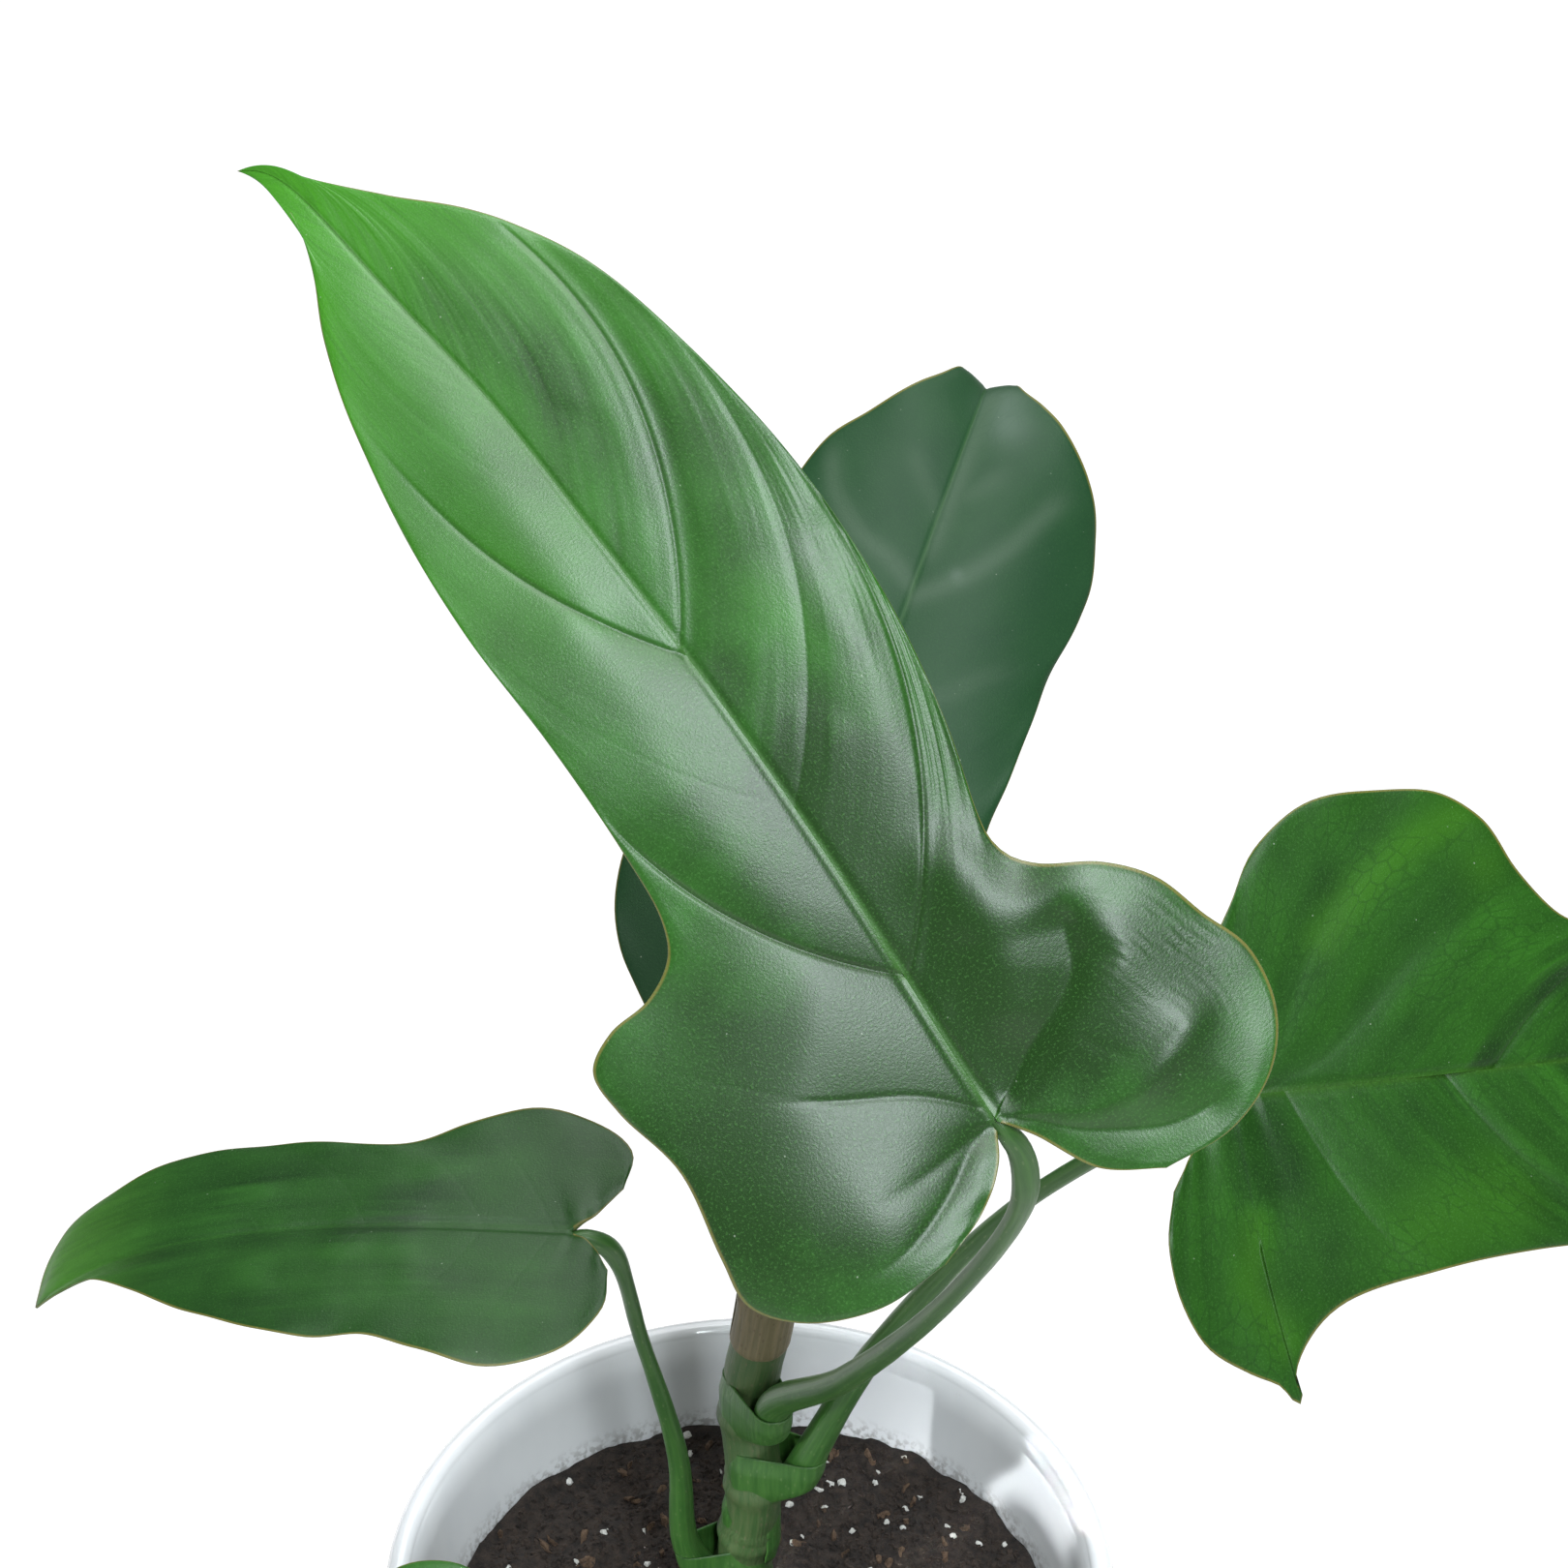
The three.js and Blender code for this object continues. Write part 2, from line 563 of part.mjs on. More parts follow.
// The pot: sloping walls, a half-round lip and a chamfered corner inside its floor
function potGeometry() {
  const lip = POT_WALL / 2;
  const lipHeight = POT_HEIGHT - lip;
  const corner = POT_FLOOR + POT_CORNER_RISE;
  const profile = [
    [0, 0], [POT_BASE_RADIUS - POT_FOOT_CHAMFER, 0], [POT_BASE_RADIUS, POT_FOOT_CHAMFER],
    [POT_RIM_RADIUS - wallSlope * lip, lipHeight],
  ];
  for (let i = 1; i < POT_LIP_STEPS; i += 1) {
    const angle = (Math.PI * i) / POT_LIP_STEPS;
    profile.push([POT_RIM_RADIUS - lip + lip * Math.cos(angle), lipHeight + lip * Math.sin(angle)]);
  }
  profile.push(
    [innerRadiusAt(lipHeight), lipHeight], [innerRadiusAt(corner), corner],
    [innerRadiusAt(POT_FLOOR) - POT_CORNER_RUN, POT_FLOOR], [0, POT_FLOOR],
  );
  return turned(profile, POT_SIDES);
}

// A lathe turned about Z from [radius, height] pairs
function turned(profile, sides) {
  const geometry = new THREE.LatheGeometry(profile.map(([r, z]) => new THREE.Vector2(r, z)), sides);
  return geometry.rotateX(Math.PI / 2);
}

// The soil: a plug that fills the pot, uneven on top, with a plain hole for the stem
function soilGeometry() {
  const radiusAt = (z) => innerRadiusAt(z) - 2 * TOUCH_GAP;
  const top = POT_HEIGHT - SOIL_DEPTH_BELOW_RIM;
  const edge = top - SOIL_EDGE_DROP;
  const bottom = POT_FLOOR + POT_CORNER_RISE + TOUCH_GAP;
  const hole = STEM_RADIUS + TOUCH_GAP;
  const profile = [
    [0, bottom], [radiusAt(bottom), bottom], [radiusAt(edge), edge],
  ];
  for (let ring = SOIL_RINGS; ring >= 0; ring -= 1) {
    profile.push([lerp(hole, radiusAt(edge) - SOIL_EDGE_RUN, ring / SOIL_RINGS), top]);
  }
  profile.push([hole, STEM_FOOT - TOUCH_GAP], [0, STEM_FOOT - TOUCH_GAP]);
  const geometry = turned(profile, SOIL_SIDES);
  const { position } = geometry.attributes;
  const near = 0.01;
  for (let i = 0; i < position.count; i += 1) {
    const [x, y, z] = [position.getX(i), position.getY(i), position.getZ(i)];
    const spread = Math.hypot(x, y);
    if (Math.abs(z - top) < near && spread > hole + near) {
      const broad = Math.sin(x * BROAD_LUMP.x + BROAD_LUMP.xStart)
        * Math.cos(y * BROAD_LUMP.y + BROAD_LUMP.yStart);
      const fine = Math.sin(x * FINE_LUMP.x + y * FINE_LUMP.y);
      const dish = SOIL_DISH.slope * Math.max(0, spread - SOIL_DISH.start);
      position.setZ(i, z + SOIL_LUMP * (broad + FINE_LUMP.share * fine) - dish);
    }
  }
  return geometry;
}

function standard(color, roughness) {
  return new THREE.MeshStandardMaterial({ color, roughness, metalness: 0 });
}

function namedMesh(name, geometry, material) {
  const mesh = new THREE.Mesh(geometry, material);
  mesh.name = name;
  return mesh;
}

const plant = new THREE.Group();
const stalkFinish = standard(PETIOLE_GREEN, GREEN_STALK_ROUGHNESS);
plant.add(namedMesh('pot', potGeometry(), standard(POT_WHITE, POT_ROUGHNESS)));
plant.add(namedMesh('soil', soilGeometry(), standard(SOIL_BROWN, SOIL_ROUGHNESS)));
plant.add(namedMesh('stem', stemGeometry(), standard(STEM_GREEN, STEM_ROUGHNESS)));
plant.add(namedMesh('new_leaf', newLeafGeometry(), standard(NEW_GREEN, GREEN_STALK_ROUGHNESS)));
for (const leaf of LEAVES) {
  plant.add(namedMesh(`petiole_${leaf.name}`, petioleGeometry(leaf), stalkFinish));
  plant.add(namedMesh(`blade_${leaf.name}`, bladeGeometry(leaf), standard(leaf.colour, BLADE_ROUGHNESS)));
}

export default plant;
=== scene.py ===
"""Looks of a potted horsehead philodendron: leaf blades, petioles, stem, young leaf, soil and pot.

The plant's own data are in millimetres and become metres when a mesh is made. A leaf is drawn
flat first, x across it and y along its midrib from the petiole to the tip, and is then bent.
"""

import logging
import math
from dataclasses import dataclass, field, replace
from enum import Enum
from typing import Any, Sequence

import bpy
import numpy as np
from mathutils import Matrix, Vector


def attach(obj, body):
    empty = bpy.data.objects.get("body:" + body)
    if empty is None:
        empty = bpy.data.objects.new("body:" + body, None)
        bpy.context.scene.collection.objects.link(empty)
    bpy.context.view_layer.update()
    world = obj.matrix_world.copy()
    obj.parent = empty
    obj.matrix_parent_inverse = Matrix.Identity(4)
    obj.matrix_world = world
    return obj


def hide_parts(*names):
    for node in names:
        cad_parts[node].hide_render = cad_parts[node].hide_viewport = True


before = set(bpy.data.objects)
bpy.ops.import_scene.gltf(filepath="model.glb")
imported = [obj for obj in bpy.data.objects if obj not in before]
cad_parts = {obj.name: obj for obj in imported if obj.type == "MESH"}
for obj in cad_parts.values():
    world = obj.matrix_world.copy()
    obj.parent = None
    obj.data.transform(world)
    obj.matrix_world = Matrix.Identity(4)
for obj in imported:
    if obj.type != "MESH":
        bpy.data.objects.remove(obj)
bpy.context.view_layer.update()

LOG = logging.getLogger("philodendron")
MM = 0.001
BODY = "root"

Array = np.ndarray
Mesh = bpy.types.Mesh
Object = bpy.types.Object
Material = bpy.types.Material
Colour = tuple[float, float, float]
Point = tuple[float, float, float]
Flat = tuple[float, float]
Range = tuple[float, float]
Knots = Sequence[tuple[float, float]]
Faces = Sequence[Sequence[int]]
Values = dict[str, Array]
Socket = bpy.types.NodeSocket
Value = Socket | float


class Slot(Enum):
    """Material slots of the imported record."""

    POT = "pot"
    SOIL = "soil"
    STEM = "stem"
    PETIOLE = "petiole"
    YOUNG_LEAF = "young_leaf"
    LEAF = "leaf"


def hermite(t: Array | float, ends: tuple[Array, Array], slopes: tuple[Array, Array]) -> Array:
    """Reads a cubic curve.

    Args:
        t: parts of its way.
        ends: its values at the start and the end.
        slopes: its slopes there, over the whole way.

    Returns:
        Its values at t.
    """
    start = (2 * t**3 - 3 * t**2 + 1) * ends[0] + (t**3 - 2 * t**2 + t) * slopes[0]
    return start + (3 * t**2 - 2 * t**3) * ends[1] + (t**3 - t**2) * slopes[1]


def smooth_value(knots: Knots, at: Array) -> Array:
    """Reads a smooth curve through knots, held level past both ends.

    Args:
        knots: (place, value) pairs in rising order of place.
        at: places to read.

    Returns:
        The value at each place.
    """
    places, values = np.array(knots, float).T
    if len(places) == 1:
        return np.full(np.shape(at), values[0])
    slopes = np.empty(len(places))
    slopes[1:-1] = (values[2:] - values[:-2]) / (places[2:] - places[:-2])
    slopes[0] = (values[1] - values[0]) / (places[1] - places[0])
    slopes[-1] = (values[-1] - values[-2]) / (places[-1] - places[-2])
    here = np.clip(at, places[0], places[-1])
    i = np.clip(np.searchsorted(places, here, side="right") - 1, 0, len(places) - 2)
    span = places[i + 1] - places[i]
    t = (here - places[i]) / span
    return hermite(t, (values[i], values[i + 1]), (span * slopes[i], span * slopes[i + 1]))


def smooth_line(points: Sequence[Sequence[float]], steps: int = 12) -> Array:
    """Draws a centripetal Catmull-Rom curve through points, in two or three dimensions.

    Args:
        points: the points that the curve passes through.
        steps: straight steps between two of them.

    Returns:
        The curve's points, one row each.
    """
    shortest = 1e-6
    through = np.asarray(points, float)
    padded = np.vstack([2 * through[0] - through[1], through, 2 * through[-1] - through[-2]])
    line = []
    for p0, p1, p2, p3 in zip(padded, padded[1:], padded[2:], padded[3:]):
        chords = (p1 - p0, p2 - p1, p3 - p2)
        gaps = [math.sqrt(max(np.linalg.norm(chord), shortest)) for chord in chords]
        leave = gaps[1] * ((p1 - p0) / gaps[0] - (p2 - p0) / (gaps[0] + gaps[1])) + p2 - p1
        arrive = gaps[1] * ((p3 - p2) / gaps[2] - (p3 - p1) / (gaps[1] + gaps[2])) + p2 - p1
        line += [hermite(t, (p1, p2), (leave, arrive)) for t in np.arange(steps) / steps]
    line.append(through[-1])
    return np.array(line)


def unit(vectors: Array) -> Array:
    """Returns vectors, which lie in the last axis, at length 1."""
    return vectors / np.linalg.norm(vectors, axis=-1, keepdims=True)


def compass(degrees: float) -> Array:
    """Returns the level direction at an angle round the plant."""
    return np.array([math.cos(math.radians(degrees)), math.sin(math.radians(degrees)), 0])


def hump(distance: Array, width: float | Array) -> Array:
    """A smooth rise of height 1 at distance 0 that fades out past width."""
    return np.exp(-((distance / width) ** 2))


def eased(value: Array, low: float, high: float) -> Array:
    """A smooth step from 0 at low to 1 at high."""
    t = np.clip((value - low) / (high - low), 0, 1)
    return t * t * (3 - 2 * t)


class MeasuredLine:
    """A line of points with its running length, read at any distance along it."""

    def __init__(self, points: Array) -> None:
        """Measures the line.

        Args:
            points: the line's points, one row each.
        """
        self.points = points
        steps = np.linalg.norm(np.diff(points, axis=0), axis=1)
        self.distances = np.concatenate([[0.0], np.cumsum(steps)])
        self.length = float(self.distances[-1])

    def at(self, distance: Array) -> Array:
        """Returns the points at these distances along the line."""
        return np.stack([np.interp(distance, self.distances, axis) for axis in self.points.T], -1)

    def gap_to(self, places: Array) -> tuple[Array, Array]:
        """Measures how far places lie from the line.

        Args:
            places: flat places, x and y in their last axis.

        Returns:
            Each place's distance to the line, positive on its left, and the part of the line's
            length where that is.
        """
        shape = places.shape[:-1]
        best = np.full(shape, np.inf)
        sign = np.ones(shape)
        part = np.zeros(shape)
        for i, (a, b) in enumerate(zip(self.points, self.points[1:])):
            along = b - a
            t = np.clip((places - a) @ along / max(along @ along, 1e-12), 0, 1)
            gap = np.linalg.norm(places - a - t[..., None] * along, axis=-1)
            nearer = gap < best
            best[nearer] = gap[nearer]
            turn = along[0] * (places[..., 1] - a[1]) - along[1] * (places[..., 0] - a[0])
            sign[nearer] = np.where(turn[nearer] < 0, -1.0, 1.0)
            reach = self.distances[i] + t * math.sqrt(along @ along)
            part[nearer] = reach[nearer] / max(self.length, 1e-9)
        return best * sign, part


@dataclass(frozen=True)
class Crease:
    """How a vein presses into the blade: a fine groove in a broad valley, or on a ridge below 0.

    The valley reaches tipward and footward from the vein, its bottom lies shift beside it, and
    the vein fades past the part hold of its way. pale is how pale its band is.
    """

    groove: float = 0.015
    valley: float = 0.04
    tipward: float = 6.0
    footward: float = 3.5
    shift: float = 0.0
    hold: float = 0.5
    pale: float = 0.0


BROAD_VEIN = Crease(0.0, 0.12, 5, 5, 0, 0.8, 1.0)
FAINT_VEIN = Crease(0.0, 0.08, 5, 5, 0, 0.6, 0.5)


@dataclass(frozen=True)
class Rib:
    """A lateral rib. It starts along the midrib and ends along the margin, both from the tip."""

    start: float
    end: float
    bow: float = 0.2
    crease: Crease = Crease()


@dataclass(frozen=True)
class Vein:
    """A vein that runs free of the lateral ribs, from its foot outward."""

    way: Sequence[Flat]
    crease: Crease


@dataclass(frozen=True)
class Patch:
    """A soft patch of a leaf, round or along a line, where its colour or surface differs.

    Its strength fades out past radius. For a swelling of the blade, or a hollow below 0, the
    strength is the height in millimetres.
    """

    way: Sequence[Flat]
    radius: float
    strength: float = 1.0

    def over(self, flat: Array) -> Array:
        """Returns the patch's strength at flat places, x and y in their last axis."""
        ends = np.array([self.way[0], *self.way], float)
        return self.strength * hump(MeasuredLine(ends).gap_to(flat)[0], self.radius)


def patched(patches: Sequence[Patch], flat: Array) -> Array:
    """Returns the summed strength of patches at flat places, x and y in their last axis."""
    return sum((patch.over(flat) for patch in patches), np.zeros(flat.shape[:-1]))


def mirrored(points: Sequence[Flat], scale: float) -> list[Flat]:
    """Returns flat points mirrored left to right and scaled."""
    return [(-x * scale, y * scale) for x, y in points]


@dataclass(frozen=True)
class Half:
    """One half of a leaf's flat outline, with its ribs.

    The margin runs from the tip round the ear to the lobe's end, and the sinus from the petiole
    back along the gap between the lobes. Past droop_from, a distance from the midrib, the half
    hangs down by the slope droop. pleats is how strongly it is pleated between its ribs.
    """

    margin: Sequence[Flat]
    sinus: Sequence[Flat]
    ribs: Sequence[Rib]
    veins: Sequence[Vein] = ()
    swells: Sequence[Patch] = ()
    droop: float = 0.0
    droop_from: Knots = ((0, 10),)
    pleats: float = 0.4

    def mirrored(self, scale: float) -> "Half":
        """Mirrors and scales the outline, ribs and veins, and leaves the rest plain.

        Args:
            scale: the new size as a share of the old.

        Returns:
            The mirrored half.
        """
        return Half(
            margin=mirrored(self.margin, scale),
            sinus=mirrored(self.sinus, scale),
            ribs=[replace(rib, start=rib.start * scale, end=rib.end * scale) for rib in self.ribs],
            veins=[replace(vein, way=mirrored(vein.way, scale)) for vein in self.veins],
        )


@dataclass(frozen=True)
class Shape:
    """A leaf blade's flat shape."""

    length: float
    left: Half
    right: Half

    def turned_over(self, scale: float) -> "Shape":
        """Returns the same shape turned over left to right and scaled."""
        return Shape(self.length * scale, self.right.mirrored(scale), self.left.mirrored(scale))


MAIN_SHAPE = Shape(
    length=195,
    left=Half(
        margin=[
            (-1.2, 191), (-2.1, 187), (-2.4, 182), (-3.6, 176), (-7, 167.5), (-12.5, 158), (-18.2, 145),
            (-22.4, 128.5), (-24.7, 107), (-24.6, 85), (-25, 65), (-26, 53), (-28.5, 47.5), (-34.5, 43.8),
            (-42, 42.7), (-47.5, 39), (-47.5, 31), (-44.2, 18.5), (-46, 5.5), (-46.7, -2), (-41, -8.5),
            (-30, -13), (-18.5, -13),
        ],
        sinus=[(-3.5, -5.3), (-9.5, -9.8)],
        ribs=[
            Rib(61, 17), Rib(85, 31), Rib(111, 49, 0.2, Crease(0.25, 0.9, 6, 3.5, 0, 0.35)),
            Rib(139, 85), Rib(169, 125, 0.2, Crease(0.35, 0.9, 4, 5, 0, 0.6)), Rib(192, 171, 0.09),
        ],
        veins=[
            Vein([(-1.5, 3.2), (-2.5, 4.6), (-8.1, 9.8), (-17.6, 15.1), (-29.4, 21.7)],
                 Crease(0.2, 0.5, 4, 4)),
            Vein([(-1.9, 0), (-3.1, 0.1), (-11.8, -0.6), (-24, -0.4)], Crease(0.2, 0.5, 3, 3)),
            Vein([(-2.6, -0.6), (-5.8, -1.4), (-12.4, -5), (-23, -8.4), (-32, -8)],
                 Crease(0.25, 0.8, 3, 2.5)),
        ],
        swells=[
            Patch([(-26, 62), (-26, 50), (-33, 44)], 9, -1.0), Patch([(-32, 0), (-22, -6)], 13, 2.0),
            Patch([(-6, 158), (-9, 125), (-10, 100)], 6, 0.6),
        ],
        droop=0.11,
        droop_from=((18, 24), (34, 12), (70, 13), (100, 9), (150, 4), (175, 2)),
        pleats=0.25,
    ),
    right=Half(
        margin=[
            (0.9, 190), (1.6, 185.5), (3.7, 179.5), (10, 169), (18, 157.5), (24.6, 142), (28.6, 122),
            (30.7, 99), (29.5, 73.5), (25.8, 53), (22.4, 40.5), (21.9, 36.5), (22.9, 32.8), (25.8, 29.7),
            (34, 25), (39.7, 18.8), (42.9, 9.4), (45.7, 0.9), (44.1, -9.1), (38.1, -16.8), (28.6, -20.7),
            (17, -20),
        ],
        sinus=[(3.7, -5), (8.9, -14.4)],
        ribs=[
            Rib(63, 17), Rib(87, 29), Rib(109, 45, 0.22, Crease(0.2, 1.2, 6, 5, 1.8, 0.9)),
            Rib(139, 73, 0.24, Crease(0.06, 0.55, 5, 4, 0, 0.7)),
            Rib(170, 97, 0.22, Crease(0.2, 1.1, 6, 5, 1.8, 0.85)), Rib(194, 185, 0.03),
        ],
        veins=[
            Vein([(3.5, 2.7), (9.2, 6.1), (16.8, 10), (22, 13.7), (24.2, 19.3), (26.1, 25.8)],
                 Crease(0.1, 2.0, 8, 3, 0, 0.8)),
            Vein([(16.8, 5.4), (23.8, 8.8), (29.7, 11.6), (28.4, 19.3), (26.5, 25.8)],
                 Crease(0, -1.0, 3.5, 7, 0, 0.6)),
            Vein([(0.4, 0.2), (5.7, -2.8), (12.7, -7), (18.6, -7.8), (25.4, -6.2), (32.4, -3.8),
                  (38.3, -1.4)], Crease(0.2, -1.4, 4, 3, 0, 0.8)),
            Vein([(2.5, -1.4), (5.3, -3.4), (9.2, -7.1), (14.2, -10.8), (21.2, -14.8), (27.7, -16.1),
                  (34.2, -15.7)], Crease(0.2, 1.1, 4, 2.5, 0, 0.8)),
            Vein([(17.4, 4.1), (20.9, -1.5), (24.4, -5.9)], Crease(0.1, 0)),
            Vein([(26.6, -8.1), (30.4, -11.9), (34.2, -15)], Crease(0.1, 0)),
        ],
        swells=[
            Patch([(29, 85), (27.5, 65), (25, 52), (22, 38), (24, 31)], 5, -1.2),
            Patch([(14, 36), (15, 24), (12, 14)], 6, 1.3), Patch([(25, 20), (27, 6), (25, -6)], 11, 1.8),
        ],
        pleats=1.0,
    ),
)

RIGHT_SHAPE = Shape(
    length=168,
    left=Half(
        margin=[
            (-2, 163), (-6, 154), (-12, 142), (-18, 127), (-22.5, 110), (-24.5, 92), (-23, 76),
            (-25.5, 63), (-34.5, 54.5), (-44.5, 48.5), (-49.2, 41.5), (-50.5, 27), (-49, 14.5),
            (-42, 4), (-33, -2), (-23, -8), (-12, -11),
        ],
        sinus=[(-2.5, -4), (-6.5, -9)],
        ribs=[
            Rib(44, 14, 0.18), Rib(70, 32), Rib(98, 54, 0.2, Crease(0.06, 0.4)),
            Rib(122, 80, 0.2, Crease(0.15, 0.8)), Rib(160, 132, 0.14),
        ],
        veins=[
            Vein([(0, 0), (-2.6, 6.2), (-5, 12.4), (-11, 20.1), (-18.5, 28.4), (-28, 42)],
                 Crease(0.12, 0.7, 5, 5, 0, 0.6, 0.5)),
            Vein([(0, 0), (-9, 5), (-20, 10), (-33, 20), (-42, 32)], Crease(0.06, 0.4, 5, 5, 0, 0.5, 0.4)),
        ],
        pleats=1.3,
    ),
    right=Half(
        margin=[
            (2.5, 163), (7, 154), (14, 142), (21, 128), (27, 112), (31, 94), (33, 75), (32, 55),
            (32.2, 40), (33.3, 27), (36.5, 11), (42, 3.5), (46.5, 0.6), (49.3, 0.4), (51.8, 1.6),
            (52.6, 0.7), (51.3, -0.9), (49.3, -2.4), (46.5, -8), (41, -16), (33, -20.3), (24, -21.5),
            (15, -19),
        ],
        sinus=[(3, -4.5), (7.5, -13)],
        ribs=[
            Rib(44, 16, 0.18), Rib(70, 36), Rib(100, 62, 0.2, Crease(0.05, 0.3)),
            Rib(132, 98, 0.2, Crease(0.2, 0.8, 6, 3.5, 0, 0.5, 0.5)), Rib(163, 150, 0.1, Crease(0.1, 0.4)),
        ],
        veins=[
            Vein([(0, 0), (4.6, 7.2), (9.8, 10.2), (16, 11.8), (26, 13)],
                 Crease(0.04, 0.25, 4, 4, 0, 0.3, 0.2)),
            Vein([(2, -1), (14.6, 1.3), (27.2, -0.9), (38, -1.2), (47.6, -1.2)],
                 Crease(0.0, 0.25, 4, 4, 0, 0.3)),
        ],
        pleats=1.3,
    ),
)

LEFT_SHAPE = Shape(
    length=110,
    left=Half(
        margin=[
            (-1, 104), (-1.4, 98.5), (-2.8, 93.4), (-5.4, 88.6), (-9.2, 82.7), (-13.7, 76), (-19.4, 66),
            (-23.8, 54.5), (-26, 44.5), (-26, 34), (-29, 24), (-32, 12), (-28, -1), (-19, -8), (-10, -8),
        ],
        sinus=[(-2.5, -3.5)],
        ribs=[
            Rib(33, 16, 0.16), Rib(52, 32), Rib(72, 54), Rib(94, 82, 0.16), Rib(107, 98, 0.08),
        ],
        pleats=1.5,
    ),
    right=Half(
        margin=[
            (2.7, 108.7), (5.9, 107.2), (9.4, 105), (12.6, 101.5), (15, 95.5), (17.2, 86), (19.5, 76.5),
            (20, 64), (19, 48), (18, 34), (23, 22), (27, 10), (24, -3), (17, -10), (9, -9),
        ],
        sinus=[(2.5, -3.5)],
        ribs=[
            Rib(33, 20, 0.16), Rib(52, 38), Rib(72, 60), Rib(94, 86, 0.14), Rib(107, 100, 0.06),
        ],
        pleats=1.5,
    ),
)

BACK_SHAPE = Shape(
    length=166,
    left=Half(
        margin=[
            (-2, 160), (-5, 152), (-9, 143), (-13, 138.5), (-20.5, 130), (-27, 122.5), (-30.5, 114),
            (-32, 100), (-31.5, 85), (-30, 70), (-30, 58), (-33, 46), (-38, 36), (-38, 24),
            (-34, 14), (-30, 8.5), (-20, -2), (-11, -5),
        ],
        sinus=[(-2.5, -3)],
        ribs=[
            Rib(24, 16, 0.12), Rib(47, 34, 0.16), Rib(68, 52, 0.16), Rib(92, 74, 0.18), Rib(120, 96, 0.18),
            Rib(160, 128, 0.1),
        ],
        veins=[
            Vein([(0, 97), (-6, 100.8), (-13.6, 104.1), (-20.6, 110.6), (-23.9, 117), (-26, 124)],
                 BROAD_VEIN),
            Vein([(0, 113), (-6.1, 120.1), (-11.4, 127.3)], FAINT_VEIN),
            Vein([(0, 69), (-11, 77), (-19, 86), (-26, 98)], FAINT_VEIN),
            Vein([(0, 41), (-12, 49), (-22, 58), (-28, 70)], FAINT_VEIN),
        ],
    ),
    right=Half(
        margin=[
            (2, 160), (5, 152), (8, 145), (12.7, 141.6), (18, 138), (26, 131.5), (32, 123), (34.5, 112),
            (34.4, 104), (32.2, 91), (31.2, 78), (30, 64.7), (29, 52), (31, 42), (37, 33), (40, 22),
            (38, 8), (31, -3), (21, -8), (12, -7),
        ],
        sinus=[(2.5, -3.5)],
        ribs=[
            Rib(24, 16, 0.12), Rib(46, 34, 0.16), Rib(70, 52, 0.16), Rib(95, 76, 0.18), Rib(125, 100, 0.18),
            Rib(160, 142, 0.1),
        ],
        veins=[
            Vein([(0, 94.5), (8.9, 102.1), (15.3, 110.9), (19.5, 119.8), (24.3, 128.9)], BROAD_VEIN),
            Vein([(0, 115.5), (7, 121.8), (11.5, 129.3)], FAINT_VEIN),
            Vein([(0, 70), (12.6, 77.8), (18.8, 84), (28.4, 90.7)], FAINT_VEIN),
            Vein([(0, 42), (12, 49), (21, 57), (28, 66)], FAINT_VEIN),
            Vein([(2.4, 141), (1.7, 132), (1.3, 118), (0.8, 100)], BROAD_VEIN),
        ],
    ),
)


@dataclass(frozen=True)
class LeafFinish:
    """Colours and gloss of one leaf blade."""

    deep: Colour
    mid: Colour
    # The lighter green toward the tip: partly young tissue, partly painted light shining through the blade;
    # on the back leaf a pale painted sheen.
    young: Colour
    midrib: Colour = (0.036, 0.130, 0.014)
    vein: Colour = (0.012, 0.040, 0.006)
    rim: Colour = (0.160, 0.140, 0.030)
    under: Colour = (0.075, 0.140, 0.050)
    speck: Colour = (0.08, 0.25, 0.05)
    dot: Colour = (0.3, 0.36, 0.27)
    roughness: float = 0.38
    ior: float = 1.52
    midrib_show: float = 0.8
    vein_show: float = 0.5
    vale_show: float = 0.0
    streaks: float = 0.3
    lengthwise: bool = False
    net: float = 0.12
    specks: float = 0.3
    # Patches above 0 mix in the young green; below 0 they darken the blade's green as painted shade.
    patches: Sequence[Patch] = ()
    young_from: float = 0.72
    # How strongly the young green, partly painted light through the blade, runs along the left margin.
    margin_young_and_painted_light: float = 0.0
    ripples: Sequence[Patch] = ()


@dataclass(frozen=True)
class Leaf:
    """A leaf in its place: blade, bend and petiole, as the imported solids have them."""

    name: str
    shape: Shape
    finish: LeafFinish
    junction: Point
    toward: Point
    facing: Point
    pitch: Knots
    sway: Knots
    fold: Knots
    cup: Knots
    stem_height: float
    azimuth: float
    base_radius: float
    end_radius: float
    way: Sequence[Point]
    wave: float = 0.35
    row_step: float = 2.4
    columns: int = 40

    def axes(self) -> Array:
        """Finds the leaf's own axes.

        Returns:
            Its axes as columns: across, along the midrib, and up from it.
        """
        along = unit(np.array(self.toward, float))
        up = np.array(self.facing, float)
        up = unit(up - (up @ along) * along)
        return np.stack([np.cross(along, up), along, up], 1)


